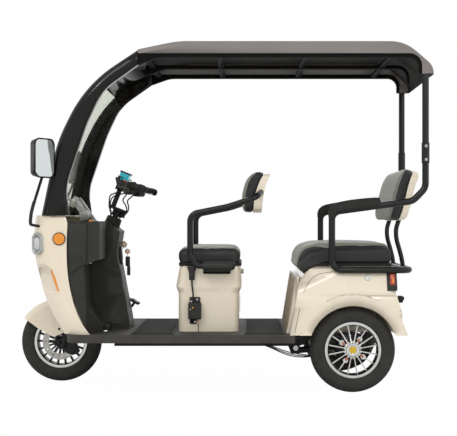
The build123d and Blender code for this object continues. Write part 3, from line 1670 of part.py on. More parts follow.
# ---- wiper ----
wiper_half = 6.0
wiper_low = 890.0
wiper_high = 1480.0
with BuildPart() as wiper:
    extrude(surround_form(screen_gap - 16), amount=wiper_half, both=True)
    extrude(surround_form(screen_gap - 2 * soft_clearance), amount=wiper_half, both=True, mode=Mode.SUBTRACT)
    with BuildSketch(Plane.XZ):
        Polygon((640, wiper_high), (1000, wiper_high), (1000, wiper_low), (640, wiper_low), align=None)
    extrude(amount=wiper_half, both=True, mode=Mode.INTERSECT)
wiper.part.label = "wiper"
export_step(wiper.part, "parts/wiper.step")

# ---- wiper motor on the dash ----
motor_foot_x = 700.0
motor_case_radius = 27.0
with BuildPart() as wiper_motor:
    with BuildSketch(Plane.XY.offset(shield_top)):
        with Locations((motor_foot_x, 0)):
            RectangleRounded(96, 80, 12)
    extrude(amount=5)
    # the leaning arm carries the gear case up to the screen
    with BuildSketch(Plane.XZ):
        Polygon(
            (motor_foot_x - 44, shield_top + 4),
            (motor_foot_x + 16, shield_top + 4),
            (motor_foot_x + 84, 938),
            (motor_foot_x + 70, 962),
            (motor_foot_x + 42, 962),
            align=None,
        )
    extrude(amount=17, both=True)
    with BuildSketch(Plane(origin=(motor_foot_x + 66, 0, 936), z_dir=(0.9, 0, 0.44))):
        Circle(30)
    extrude(amount=22)
    with BuildSketch(Plane(origin=(motor_foot_x + 66, 0, 936), z_dir=(0.9, 0, 0.44))):
        Circle(7)
    extrude(amount=60)
    with BuildSketch(Plane.XZ.offset(-78)):
        with Locations((motor_foot_x + 12, shield_top + 5 + motor_case_radius)):
            Circle(motor_case_radius)
    extrude(amount=74)
    add(windscreen.part, mode=Mode.SUBTRACT)
wiper_motor.part.label = "wiper_motor"
export_step(wiper_motor.part, "parts/wiper_motor.step")

# ---- control box on the side of the seat box, with its gland and lead ----
control_x = 129.0
gland_x = 143.0
lower_side_y = driver_box_half - box_step
control_size = (65.0, 34.0, 84.0)
control_z = 390.0
tab_thickness = 5.0
gland_y = driver_box_half + 11.6
gland_high = 612.0
lead_radius = 4.0
thin_lead_radius = 2.0
gland_low = 545.0

with BuildPart() as control_box:
    with BuildSketch(side_plane(lower_side_y + control_size[1])):
        with Locations((control_x, control_z)):
            RectangleRounded(control_size[0], control_size[2], 6)
    extrude(amount=control_size[1])
    # the fixing tabs above and below
    with BuildSketch(side_plane(lower_side_y + tab_thickness)):
        with Locations((control_x, control_z + control_size[2] / 2 + 8)):
            RectangleRounded(54, 36, 5)
        with Locations((control_x + 8, control_z - control_size[2] / 2 - 8)):
            RectangleRounded(36, 34, 5)
    extrude(amount=tab_thickness)
    # the tapered gland hangs from the seat box's rim
    with BuildSketch(Plane.XY.offset(gland_low)):
        with Locations((gland_x, gland_y)):
            SlotCenterToCenter(8, 2 * lead_radius + 12)
    with BuildSketch(Plane.XY.offset(gland_low + 38)):
        with Locations((gland_x, gland_y)):
            SlotCenterToCenter(9, 2 * lead_radius + 13)
    loft()
    with BuildSketch(Plane.XY.offset(gland_low + 38)):
        with Locations((gland_x, gland_y)):
            SlotCenterToCenter(9, 2 * lead_radius + 13)
    with BuildSketch(Plane.XY.offset(gland_high)):
        with Locations((gland_x, gland_y)):
            SlotCenterToCenter(28, 2 * lead_radius + 15)
    loft()
    add(driver_seat_box.part, mode=Mode.SUBTRACT)
control_box.part.label = "control_box"
export_step(control_box.part, "parts/control_box.step")

lead_points = (
    (gland_x, gland_y, gland_low),
    (gland_x, gland_y, 522),
    (gland_x - 3, gland_y - 2, 496),
    (gland_x - 6, gland_y - 5, 472),
    (gland_x - 7, gland_y - 5, control_z + control_size[2] / 2 + soft_clearance),
)
thin_lead_points = (
    (111, lower_side_y + 18, control_z - control_size[2] / 2 - soft_clearance),
    (111, lower_side_y + 18, 314),
    (111, lower_side_y + 22, floor_top + 2 * soft_clearance),
)


with BuildPart() as control_leads:
    for points, radius in ((lead_points, lead_radius), (thin_lead_points, thin_lead_radius)):
        radii = bend_radii(points)
        print("lead bends", [round(bend) for bend in radii])
        with BuildLine() as lead_line:
            FilletPolyline(*points, radius=radii)
        with BuildSketch(tube_plane(lead_line.line)):
            Circle(radius)
        sweep(path=lead_line.line)
control_leads.part.label = "control_leads"
export_step(control_leads.part, "parts/control_leads.step")

# ---- foot brake ----
with BuildPart() as brake_pedal:
    with BuildSketch(Plane(origin=(474, -170, 400), x_dir=(0, 1, 0), z_dir=(-0.6, 0, 0.8))):
        RectangleRounded(70, 44, 8)
    extrude(amount=10)
    with BuildLine() as pedal_line:
        FilletPolyline((474, -170, 400), (500, -170, 366), (500, -170, floor_top), radius=30)
    with BuildSketch(tube_plane(pedal_line.line)):
        Circle(7)
    sweep(path=pedal_line.line)
    with BuildSketch(Plane.XY.offset(floor_top)):
        with Locations((500, -170)):
            RectangleRounded(40, 50, 6)
    extrude(amount=8)
    with BuildSketch(Plane.XY.offset(floor_top - 60)):
        Rectangle(2000, 2000)
    extrude(amount=60, mode=Mode.SUBTRACT)
brake_pedal.part.label = "brake_pedal"
export_step(brake_pedal.part, "parts/brake_pedal.step")
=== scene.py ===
import bpy
import numpy as np
import json
import math
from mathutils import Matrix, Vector


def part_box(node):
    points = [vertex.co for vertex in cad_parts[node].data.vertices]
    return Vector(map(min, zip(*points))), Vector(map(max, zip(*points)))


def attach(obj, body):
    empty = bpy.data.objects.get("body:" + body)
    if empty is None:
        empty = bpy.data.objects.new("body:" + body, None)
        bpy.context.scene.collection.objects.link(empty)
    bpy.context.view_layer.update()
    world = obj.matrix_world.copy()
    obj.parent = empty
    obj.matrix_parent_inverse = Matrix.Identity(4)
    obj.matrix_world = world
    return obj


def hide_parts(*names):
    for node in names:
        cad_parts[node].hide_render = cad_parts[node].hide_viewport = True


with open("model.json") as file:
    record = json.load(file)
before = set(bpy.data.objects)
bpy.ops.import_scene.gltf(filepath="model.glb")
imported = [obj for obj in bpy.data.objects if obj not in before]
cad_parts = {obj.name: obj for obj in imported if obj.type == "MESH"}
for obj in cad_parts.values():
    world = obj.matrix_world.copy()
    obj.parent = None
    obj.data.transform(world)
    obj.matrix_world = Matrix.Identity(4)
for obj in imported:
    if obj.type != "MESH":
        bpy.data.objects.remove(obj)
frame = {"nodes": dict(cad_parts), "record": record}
bpy.ops.object.select_all(action="DESELECT")
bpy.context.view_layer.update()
nodes = frame["nodes"]
bodyOf = {node: body for body, members in frame["record"]["behaviour"]["bodies"].items() for node in members}
slotOf = {part["node"]: part["material_slot"] for part in frame["record"]["subparts"]}
print("frame loaded,", len(nodes), "nodes")

# camera, light and floor
view = {"x": -0.123, "distance": 5.8, "height": 0.845, "lens": 86.81, "shiftX": -0.0361, "shiftY": 0.0044}
bpy.ops.object.camera_add(
    location=(view["x"], view["distance"], view["height"]),
    rotation=(math.radians(90), 0, math.radians(180)),
)
camera = bpy.context.object
camera.name = "viewCamera"
camera.data.lens = view["lens"]
camera.data.sensor_width = 36
camera.data.shift_x = view["shiftX"]
camera.data.shift_y = view["shiftY"]
bpy.context.scene.camera = camera
bpy.context.scene.view_settings.view_transform = "Standard"


def linearColour(hexText):
    # sRGB hex to the linear values the shader wants
    channels = [int(hexText[i:i + 2], 16) / 255 for i in (1, 3, 5)]
    return tuple(c / 12.92 if c <= 0.04045 else ((c + 0.055) / 1.055) ** 2.4 for c in channels) + (1.0,)


def addNode(tree, kind, links=None, **settings):
    node = tree.nodes.new(kind)
    for setting, value in settings.items():
        setattr(node, setting, value)
    for socket, source in (links or {}).items():
        if isinstance(source, bpy.types.NodeSocket):
            tree.links.new(source, node.inputs[socket])
        else:
            node.inputs[socket].default_value = source
    return node


studio = {
    "skyLevel": 0.74,
    # each lamp's place, what it looks at, its size and its watts
    "lamps": {
        "keyLamp": ((1.6, 3.2, 3.6), (0, 0, 0.7), (2.4, 1.4), 46),
        "fillLamp": ((-3.2, 2.4, 1.8), (-0.3, 0, 0.7), (1.6, 1.8), 14),
        "backLamp": ((-0.5, -3.2, 3.0), (0, 0, 0.8), (2.6, 1.2), 26),
        "sparkLampFront": ((2.0, 3.0, 2.9), (0.6, 0.4, 1.3), (0.34, 0.16), 7),
        "sparkLampRear": ((-0.9, 3.4, 2.2), (-0.6, 0.4, 0.5), (0.22, 0.34), 7),
    },
}
for name, (place, target, size, power) in studio["lamps"].items():
    bpy.ops.object.light_add(type="AREA", location=place)
    lamp = bpy.context.object
    lamp.name = name
    lamp.rotation_euler = (Vector(target) - Vector(place)).to_track_quat("-Z", "Y").to_euler()
    lamp.data.shape = "RECTANGLE"
    lamp.data.size, lamp.data.size_y = size
    lamp.data.energy = power

world = bpy.data.worlds.new("studioWorld")
bpy.context.scene.world = world
world.use_nodes = True
sky = world.node_tree
sky.nodes.clear()
skyRays = addNode(sky, "ShaderNodeLightPath")
skySeen = addNode(
    sky, "ShaderNodeMath", {0: skyRays.outputs["Is Camera Ray"], 1: skyRays.outputs["Is Glossy Ray"]}, operation="ADD"
)
skyAll = addNode(
    sky, "ShaderNodeMath", {
        0: skySeen.outputs[0], 1: skyRays.outputs["Is Transmission Ray"]
    }, operation="ADD", use_clamp=True
)
skyLevel = addNode(sky, "ShaderNodeMapRange", {"Value": skyAll.outputs[0], "To Min": studio["skyLevel"], "To Max": 1.0})
skyLight = addNode(sky, "ShaderNodeBackground", {"Color": (1, 1, 1, 1), "Strength": skyLevel.outputs[0]})
addNode(sky, "ShaderNodeOutputWorld", {"Surface": skyLight.outputs[0]})

floorPaint = bpy.data.materials.new("matt white floor")
floorPaint.use_nodes = True
floorTree = floorPaint.node_tree
floorTree.nodes.clear()
floorRays = addNode(floorTree, "ShaderNodeLightPath")
floorMatt = addNode(floorTree, "ShaderNodeBsdfDiffuse", {"Color": linearColour("#F4F4F2")})
floorGlow = addNode(floorTree, "ShaderNodeEmission", {"Color": (1, 1, 1, 1), "Strength": 1.0})
floorShare = addNode(
    floorTree, "ShaderNodeMapRange", {"Value": floorRays.outputs["Is Camera Ray"], "To Min": 0.0, "To Max": 0.985}
)
floorMix = addNode(
    floorTree, "ShaderNodeMixShader", {0: floorShare.outputs[0], 1: floorMatt.outputs[0], 2: floorGlow.outputs[0]}
)
addNode(floorTree, "ShaderNodeOutputMaterial", {"Surface": floorMix.outputs[0]})
bpy.ops.mesh.primitive_plane_add(size=60, location=(0, 0, -0.0005))
floor = bpy.context.object
floor.name = "studioFloor"
floor.data.materials.append(floorPaint)
print("camera, light and floor set")

# finishes


def newSurface(name, colour, **sockets):
    surface = bpy.data.materials.new(name)
    surface.use_nodes = True
    shader = surface.node_tree.nodes["Principled BSDF"]
    shader.inputs["Base Color"].default_value = linearColour(colour)
    for socket, value in sockets.items():
        shader.inputs[socket.replace("_", " ")].default_value = value
    return surface, surface.node_tree, shader


def mottled(tree, shader, place, colour, other, size):
    # two near tones drift into each other over a size in mm
    cloud = addNode(tree, "ShaderNodeTexNoise", {"Vector": place, "Scale": 1000 / size, "Detail": 3.0})
    spread = addNode(tree, "ShaderNodeMapRange", {"Value": cloud.outputs["Fac"], "From Min": 0.25, "From Max": 0.75})
    tone = addNode(
        tree, "ShaderNodeMix", {"Factor": spread.outputs[0], 6: linearColour(colour), 7: linearColour(other)},
        data_type="RGBA",
    )
    tree.links.new(tone.outputs[2], shader.inputs["Base Color"])


def roughened(tree, shader, place, size, low, high):
    cloud = addNode(tree, "ShaderNodeTexNoise", {"Vector": place, "Scale": 1000 / size, "Detail": 2.0})
    spread = addNode(
        tree, "ShaderNodeMapRange", {
            "Value": cloud.outputs["Fac"], "From Min": 0.3, "From Max": 0.7, "To Min": low, "To Max": high
        }
    )
    tree.links.new(spread.outputs[0], shader.inputs["Roughness"])


def embossed(tree, shader, height, depth, strength=0.5):
    # depth in mm
    relief = addNode(tree, "ShaderNodeBump", {"Height": height, "Distance": depth / 1000, "Strength": strength})
    tree.links.new(relief.outputs[0], shader.inputs["Normal"])


def grainySurface(name, colour, other, cloudSize, grainSize, grainDepth, low, high, **sockets):
    surface, tree, shader = newSurface(name, colour, **sockets)
    place = addNode(tree, "ShaderNodeTexCoord").outputs["Object"]
    mottled(tree, shader, place, colour, other, cloudSize)
    roughened(tree, shader, place, cloudSize / 3, low, high)
    grain = addNode(tree, "ShaderNodeTexNoise", {"Vector": place, "Scale": 1000 / grainSize, "Detail": 2.0})
    embossed(tree, shader, grain.outputs["Fac"], grainDepth)
    return surface


# gloss enamel on moulded ABS: a deep clear shine over an even cream, with the faintest ripple
creamEnamel = grainySurface(
    "cream gloss enamel", "#E9DDC9", "#E4D7C1", 240, 9, 0.03, 0.20, 0.28, Coat_Weight=0.7, Coat_Roughness=0.04
)
# piano black ABS: hard mirror shine that shows every light
pianoBlack = grainySurface(
    "piano black ABS", "#0E0E0D", "#131312", 160, 14, 0.02, 0.08, 0.13, Specular_IOR_Level=0.24
)
# grained black polypropylene: a dry satin with a fine pebble grain
grainedBlack = grainySurface(
    "grained black polypropylene", "#2A2A27", "#31312E", 90, 2.2, 0.12, 0.42, 0.56, Specular_IOR_Level=0.22
)
# chequered floor plate plastic, with dust dulling it in clouds
floorPlastic = grainySurface(
    "scuffed floor plastic", "#393834", "#45433E", 70, 3.0, 0.15, 0.55, 0.75, Specular_IOR_Level=0.25
)
# textured acrylic-capped ABS roof: warm grey, matt, with a fine spatter
roofPlastic = grainySurface(
    "matt grey ABS roof", "#77716E", "#807A76", 300, 3.2, 0.12, 0.50, 0.62, Specular_IOR_Level=0.4
)
# painted shade: the roof's downward faces are painted dark and dry, for the shade under the roof
roofUnderShade = grainySurface("painted shade under roof", "#1E1D1C", "#262523", 60, 2.5, 0.2, 0.7, 0.85, Specular_IOR_Level=0.2)
# powder-coated steel tube: gloss black with a slight orange peel
coatedTube = grainySurface(
    "gloss black powder coat", "#171918", "#1D1F1E", 120, 4.0, 0.05, 0.16, 0.25, Specular_IOR_Level=0.26
)
# black paint on cast and pressed steel: semi-gloss, softly uneven
satinSteel = grainySurface(
    "semi-gloss black steel paint", "#171716", "#1F1F1E", 50, 3.0, 0.1, 0.32, 0.48, Specular_IOR_Level=0.25
)
# sand-cast aluminium housing: grey, rough, with a coarse skin
castHousing = grainySurface("sand-cast aluminium", "#6F6F6C", "#83827E", 30, 2.0, 0.3, 0.45, 0.62, Metallic=0.7)
# EPDM rubber: near black, dull, faintly bloomed
blackRubber = grainySurface("black EPDM rubber", "#1E1E1C", "#272725", 25, 1.6, 0.1, 0.55, 0.7, Specular_IOR_Level=0.22)
# zinc-plated screws and nuts: bright with a soft blue-grey haze
zincPlate = grainySurface("zinc-plated steel", "#B9BAB8", "#A3A4A2", 12, 1.2, 0.03, 0.22, 0.36, Metallic=1.0)
# copper-toned wheel nuts: warm plating, slightly dulled
copperPlate = grainySurface("copper-plated nuts", "#C89080", "#B67C6A", 10, 1.0, 0.03, 0.25, 0.38, Metallic=1.0)
# machined aluminium: polished lips and spoke faces with a bright clean cut
machinedAlloy = grainySurface("machined aluminium", "#D6D6D2", "#C6C6C3", 40, 2.0, 0.02, 0.12, 0.22, Metallic=1.0)
# black wheel enamel between the machined faces
wheelBlack = grainySurface(
    "black wheel enamel", "#111111", "#181817", 40, 2.5, 0.04, 0.28, 0.4, Specular_IOR_Level=0.25
)
# vacuum-metallised reflector bowl
metallised = grainySurface("metallised reflector", "#D9DADA", "#C9CBCC", 30, 6.0, 0.02, 0.06, 0.14, Metallic=1.0)
# silver paint on the lamp's frame
silverPaint = grainySurface(
    "silver lamp paint", "#B4B5B3", "#A6A7A5", 40, 1.5, 0.03, 0.28, 0.36, Metallic=0.6, Coat_Weight=0.4
)
# soft yellow polypropylene hub cap
yellowCap = grainySurface("yellow hub cap plastic", "#D9B51E", "#C9A51A", 14, 1.5, 0.05, 0.35, 0.45)
# coloured polypropylene of switches and small lamps: an even satin
redPlastic = grainySurface("red switch plastic", "#B02A1E", "#9C2218", 10, 1.2, 0.03, 0.3, 0.4)
orangePlastic = grainySurface("orange dash plastic", "#D98424", "#C87518", 12, 1.2, 0.03, 0.3, 0.4)
# grey die-cast wiper motor
motorGrey = grainySurface("pale grey die-cast zinc", "#B9BAB6", "#A5A6A2", 18, 1.4, 0.1, 0.35, 0.5, Metallic=0.5)


def lampPlastic(name, colour, ridge):
    # moulded acrylic over ribs that break the light into lines
    surface, tree, shader = newSurface(name, colour, Roughness=0.12, Coat_Weight=0.6, Coat_Roughness=0.03)
    place = addNode(tree, "ShaderNodeTexCoord").outputs["Object"]
    mottled(tree, shader, place, colour, colour, 20)
    ribs = addNode(
        tree, "ShaderNodeTexWave", {"Vector": place, "Scale": 1000 / ridge / 6.28, "Distortion": 0.0},
        bands_direction="Z",
    )
    shader.inputs["Emission Color"].default_value = linearColour(colour)
    shader.inputs["Emission Strength"].default_value = 0.12
    embossed(tree, shader, ribs.outputs["Fac"], 0.8, 0.6)
    return surface


amberLamp = lampPlastic("amber acrylic lamp", "#D88412", 5.0)
redLamp = lampPlastic("red acrylic lamp", "#A32C1E", 5.0)


def clearSurface(name, colour, roughness, veil):
    # clear sheet: mostly see-through, with a thin bright reflection and a trace of haze
    surface = bpy.data.materials.new(name)
    surface.use_nodes = True
    tree = surface.node_tree
    tree.nodes.clear()
    place = addNode(tree, "ShaderNodeTexCoord").outputs["Object"]
    haze = addNode(tree, "ShaderNodeTexNoise", {"Vector": place, "Scale": 9.0, "Detail": 3.0})
    shine = addNode(
        tree, "ShaderNodeMapRange", {"Value": haze.outputs["Fac"], "To Min": roughness, "To Max": roughness * 2.2}
    )
    body = addNode(
        tree, "ShaderNodeBsdfPrincipled",
        {"Base Color": linearColour(colour), "Roughness": shine.outputs[0], "IOR": 1.49},
    )
    passing = addNode(tree, "ShaderNodeBsdfTransparent", {"Color": linearColour(colour)})
    edge = addNode(tree, "ShaderNodeLayerWeight", {"Blend": 0.28})
    share = addNode(tree, "ShaderNodeMapRange", {"Value": edge.outputs["Fresnel"], "To Min": veil, "To Max": 0.30})
    mix = addNode(tree, "ShaderNodeMixShader", {0: share.outputs[0], 1: passing.outputs[0], 2: body.outputs[0]})
    addNode(tree, "ShaderNodeOutputMaterial", {"Surface": mix.outputs[0]})
    return surface


screenAcrylic = clearSurface("clear acrylic windscreen", "#F5F7F1", 0.04, 0.02)
lampClear = clearSurface("clear polycarbonate lens", "#F2F5F6", 0.03, 0.10)

# first-surface mirror glass
mirrorGlass, mirrorTree, mirrorShader = newSurface("silvered mirror glass", "#DCE0E0", Metallic=1.0)
mirrorPlace = addNode(mirrorTree, "ShaderNodeTexCoord").outputs["Object"]
mottled(mirrorTree, mirrorShader, mirrorPlace, "#DCE0E0", "#D2D7D8", 200)
roughened(mirrorTree, mirrorShader, mirrorPlace, 60, 0.01, 0.04)

# tyre rubber: dusty black
tyreRubber = grainySurface("dusty tyre rubber", "#292927", "#343331", 45, 1.4, 0.12, 0.62, 0.8, Specular_IOR_Level=0.25)

# brushed brake steel: fine rings round the axle
brakeSteel, brakeTree, brakeShader = newSurface("ground brake steel", "#B4B2AC", Metallic=1.0, Roughness=0.3)
brakePlace = addNode(brakeTree, "ShaderNodeTexCoord").outputs["Object"]
mottled(brakeTree, brakeShader, brakePlace, "#B4B2AC", "#9C9A94", 25)
axleHeight = 0.2095
frontAxle = 0.84
centred = addNode(brakeTree, "ShaderNodeMapping", {"Vector": brakePlace, "Location": (-frontAxle, 0, -axleHeight)})
rings = addNode(
    brakeTree, "ShaderNodeTexWave", {"Vector": centred.outputs[0], "Scale": 140.0}, wave_type="RINGS",
    rings_direction="Y",
)
embossed(brakeTree, brakeShader, rings.outputs["Fac"], 0.05, 0.4)


leather = {"pale": ("#85857A", "#77776C"), "black": ("#242524", "#2B2C2B"), "cloud": 70, "pebble": 2.4}


def leathercloth(name, panelOf):
    # PVC leathercloth: a fine pebble grain, with a pale panel sewn to black sides
    surface, tree, shader = newSurface(
        name, leather["pale"][0], Roughness=0.5, Sheen_Weight=0.05, Specular_IOR_Level=0.28
    )
    place = addNode(tree, "ShaderNodeTexCoord").outputs["Object"]
    panel = panelOf(tree, place)
    cloud = addNode(tree, "ShaderNodeTexNoise", {"Vector": place, "Scale": 1000 / leather["cloud"], "Detail": 3.0})
    sideTone, paleTone = (
        addNode(
            tree, "ShaderNodeMix",
            {"Factor": cloud.outputs["Fac"], 6: linearColour(leather[part][0]), 7: linearColour(leather[part][1])},
            data_type="RGBA",
        )
        for part in ("black", "pale")
    )
    tone = addNode(
        tree, "ShaderNodeMix", {"Factor": panel, 6: sideTone.outputs[2], 7: paleTone.outputs[2]}, data_type="RGBA"
    )
    tree.links.new(tone.outputs[2], shader.inputs["Base Color"])
    roughened(tree, shader, place, 30, 0.42, 0.58)
    pebbles = addNode(tree, "ShaderNodeTexVoronoi", {"Vector": place, "Scale": 1000 / leather["pebble"]}, feature="F1")
    embossed(tree, shader, pebbles.outputs["Distance"], 0.35, 0.55)
    return surface


def topPanel(half, low):
    # a cushion's pale top: inside a half width and above a height
    def panelOf(tree, place):
        axes = addNode(tree, "ShaderNodeSeparateXYZ", {0: place})
        sideways = addNode(tree, "ShaderNodeMath", {0: axes.outputs["Y"]}, operation="ABSOLUTE")
        inTop = addNode(
            tree, "ShaderNodeMapRange",
            {"Value": sideways.outputs[0], "From Min": half + 0.001, "From Max": half - 0.001},
        )
        high = addNode(
            tree, "ShaderNodeMapRange", {"Value": axes.outputs["Z"], "From Min": low - 0.001, "From Max": low + 0.001}
        )
        return addNode(
            tree, "ShaderNodeMath", {0: inTop.outputs[0], 1: high.outputs[0]}, operation="MULTIPLY"
        ).outputs[0]

    return panelOf


def frontPanel(tree, place):
    # a backrest's pale front: the attribute says how near each point is to the front face
    front = addNode(tree, "ShaderNodeAttribute", attribute_name="front")
    return addNode(
        tree, "ShaderNodeMapRange", {"Value": front.outputs["Fac"], "From Min": 0.88, "From Max": 0.91}
    ).outputs[0]


driverCover = leathercloth("driver's seat leathercloth", topPanel(0.236, 0.688))
benchCover = leathercloth("bench leathercloth", topPanel(0.318, 0.600))
backCover = leathercloth("backrest leathercloth", frontPanel)
# display behind a smoked window, lit teal
screenGlow, glowTree, glowShader = newSurface("teal display", "#2FB8C6", Roughness=0.15)
glowPlace = addNode(glowTree, "ShaderNodeTexCoord").outputs["Object"]
mottled(glowTree, glowShader, glowPlace, "#2FB8C6", "#1E7F90", 8)
glowShader.inputs["Emission Color"].default_value = linearColour("#2FB8C6")
glowShader.inputs["Emission Strength"].default_value = 0.25

finishOf = {
    "cream_panel": creamEnamel,
    "roof_shell": roofPlastic,
    "gloss_black": pianoBlack,
    "black_plastic": grainedBlack,
    "floor_plastic": floorPlastic,
    "black_tube": coatedTube,
    "black_metal": satinSteel,
    "frame_metal": satinSteel,
    "tyre": tyreRubber,
    "rim": wheelBlack,
    "disc_steel": brakeSteel,
    "cast_metal": castHousing,
    "seat_cover": driverCover,
    "soft_black": blackRubber,
    "clear_screen": screenAcrylic,
    "lamp_silver": silverPaint,
    "lamp_clear": lampClear,
    "lamp_amber": amberLamp,
    "lamp_red": redLamp,
    "mirror": mirrorGlass,
    "display": grainedBlack,
    "battery": blackRubber,
}
for node, shape in nodes.items():
    for place in shape.material_slots:
        place.link = "OBJECT"
        place.material = finishOf[slotOf[node]]
print("finishes made")

# modelling helpers
bothSides = ((1, "left"), (-1, "right"))
# body, finish and slot of the small pieces on the chassis
blackTrim = ("chassis", grainedBlack, "black_plastic")
blackSleeve = ("chassis", grainedBlack, "black_metal")
steelTrim = ("chassis", satinSteel, "black_metal")
rubberTrim = ("chassis", blackRubber, "soft_black")
zincTrim = ("chassis", zincPlate, "disc_steel")


def useOnly(piece):
    bpy.ops.object.select_all(action="DESELECT")
    piece.select_set(True)
    bpy.context.view_layer.objects.active = piece


def editAll():
    # into edit mode with every point selected
    bpy.context.tool_settings.mesh_select_mode = (True, False, False)
    bpy.ops.object.mode_set(mode="EDIT")
    bpy.ops.mesh.select_all(action="SELECT")


def faceOutwards():
    bpy.ops.mesh.select_all(action="SELECT")
    bpy.ops.mesh.normals_make_consistent(inside=False)


def applyModifier(piece, name, kind, **settings):
    modifier = piece.modifiers.new(name, kind)
    for setting, value in settings.items():
        setattr(modifier, setting, value)
    useOnly(piece)
    bpy.ops.object.modifier_apply(modifier=name)


def pickFaces(piece, test):
    # faces are chosen by their middle and normal, then edit mode takes over
    bpy.ops.object.mode_set(mode="OBJECT")
    bpy.context.tool_settings.mesh_select_mode = (False, False, True)
    for group in (piece.data.vertices, piece.data.edges, piece.data.polygons):
        group.foreach_set("select", [False] * len(group))
    for face in piece.data.polygons:
        face.select = bool(test(face.center, face.normal))
    bpy.ops.object.mode_set(mode="EDIT")


def paintFaces(piece, surface, test):
    piece.data.materials.append(surface)
    number = len(piece.data.materials) - 1
    for face in piece.data.polygons:
        if test(face.center, face.normal):
            face.material_index = number


def handOver(piece, name, body, surface, slot, angle=40):
    # the finished piece sits at the origin, rides on its body and takes its finish
    if bpy.context.object.mode != "OBJECT":
        bpy.ops.object.mode_set(mode="OBJECT")
    useOnly(piece)
    bpy.ops.object.transform_apply(location=True, rotation=True, scale=True)
    piece.name = name
    piece.data.name = name
    if not piece.data.materials:
        piece.data.materials.append(surface)
    bpy.ops.object.shade_smooth_by_angle(angle=math.radians(angle))
    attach(piece, body)
    return piece


def copyOf(node):
    # the node's shape as a piece of its own, with no finish yet
    source = nodes[node]
    piece = source.copy()
    piece.data = source.data.copy()
    bpy.context.collection.objects.link(piece)
    piece.parent = None
    piece.matrix_world = source.matrix_world.copy()
    for place in piece.material_slots:
        place.link = "DATA"
    piece.data.materials.clear()
    useOnly(piece)
    return piece


def mergedCopy(node, angle=35, surface=None):
    # the copy's loose triangles are welded, so it can shade smoothly
    piece = copyOf(node)
    editAll()
    bpy.ops.mesh.remove_doubles(threshold=0.00001)
    bpy.ops.object.mode_set(mode="OBJECT")
    handOver(piece, node + "_skin", bodyOf[node], surface or finishOf[slotOf[node]], slotOf[node], angle)
    # broad faces keep their own shading beside small rounded ones
    applyModifier(piece, "even shading", "WEIGHTED_NORMAL", weight=80, keep_sharp=True)
    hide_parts(node)
    return piece


def aimed(direction):
    return Vector(direction).to_track_quat("Z", "Y").to_euler()


def lathe(name, centre, direction, rings, body, surface, slot, sides=40, filled=True, angle=40):
    # a ring is pulled along its axis and scaled at each step, as on a lathe: (radius, height) in metres
    bpy.ops.mesh.primitive_circle_add(
        vertices=sides, radius=rings[0][0], location=(0, 0, rings[0][1]), fill_type="NGON" if filled else "NOTHING"
    )
    piece = bpy.context.object
    editAll()
    for (radius, height), (lastRadius, lastHeight) in zip(rings[1:], rings):
        bpy.ops.mesh.extrude_region_move(TRANSFORM_OT_translate={"value": (0, 0, height - lastHeight)})
        grow = radius / lastRadius
        if abs(grow - 1) > 1e-6:
            bpy.ops.transform.resize(value=(grow, grow, 1), center_override=(0, 0, height))
    bpy.ops.mesh.select_all(action="SELECT")
    bpy.ops.mesh.remove_doubles(threshold=0.00001)
    faceOutwards()
    bpy.ops.object.mode_set(mode="OBJECT")
    useOnly(piece)
    bpy.ops.object.transform_apply(location=True, rotation=True, scale=True)
    piece.location = centre
    piece.rotation_euler = aimed(direction)
    return handOver(piece, name, body, surface, slot, angle)


def block(name, centre, size, body, surface, slot, turn=(0, 0, 0), round=0.0015, segments=2, angle=40):
    # a cube at its size and place, its edges rounded
    bpy.ops.mesh.primitive_cube_add(size=1, location=centre, rotation=turn, scale=size)
    piece = bpy.context.object
    bpy.ops.object.transform_apply(location=False, rotation=False, scale=True)
    editAll()
    bpy.ops.mesh.bevel(offset=min(round, min(size) * 0.45), segments=segments, affect="EDGES")
    bpy.ops.object.mode_set(mode="OBJECT")
    return handOver(piece, name, body, surface, slot, angle)


def bolt(name, centre, direction, radius, body, surface=zincPlate, slot="black_metal"):
    # hexagon head on a washer, with a chamfered top: steps as shares of the head's radius
    steps = ((1.5, 0), (1.5, 0.22), (1, 0.24), (1, 0.9), (0.78, 1.08))
    rings = tuple((radius * wide, radius * high) for wide, high in steps)
    return lathe(name, centre, direction, rings, body, surface, slot, sides=6, angle=30)


def onSurface(piece, start, direction):
    # first point of the piece met from a start point, in metres
    hit, place = piece.ray_cast(Vector(start), Vector(direction).normalized())[:2]
    return place if hit else None


def tube(name, points, radius, body, surface, slot):
    # a bent rod: a NURBS curve through the bend's corners, made a mesh
    bpy.ops.curve.primitive_nurbs_path_add(location=(0, 0, 0))
    rod = bpy.context.object
    line = rod.data
    line.splines.clear()
    spline = line.splines.new("NURBS")
    spline.points.add(len(points) - 1)
    for point, place in zip(spline.points, points):
        point.co = (*place, 1.0)
    spline.order_u = 3
    spline.use_endpoint_u = True
    line.bevel_depth = radius
    line.bevel_resolution = 3
    line.resolution_u = 8
    line.use_fill_caps = True
    useOnly(rod)
    bpy.ops.object.convert(target="MESH")
    rod = bpy.context.object
    return handOver(rod, name, body, surface, slot, 50)


# panels, tubes and castings keep the CAD shape and shade smoothly
smoothNodes = {
    "front_cowl": 32, "leg_shield": 18, "steering_boot": 50, "headlamp_bezels": 30, "windscreen": 40,
    "windscreen_surround": 38, "rear_posts": 50, "rear_rail": 50, "driver_seat_box": 35,
    "driver_seat_rail": 50, "rear_body": 32, "rear_axle": 40, "swing_arms": 40, "shock_absorbers": 40,
    "mirror_housings": 45,
    "brake_pedal": 40, "fork": 40, "front_fender": 35, "handlebar": 45, "hand_controls": 40, "control_cables": 60,
    "control_leads": 60, "roof_frame": 45, "wiper_motor": 40, "control_box": 35, "chassis_frame": 40,
    "brake_caliper": 40, "floor_board": 30, "driver_seat_base": 40, "rear_seat_base": 40, "wiper": 40,
    "turn_signals": 35, "tail_lamps": 35, "plate_lamp": 35, "brake_disc": 35,
}
skins = {node: mergedCopy(node, angle) for node, angle in smoothNodes.items()}
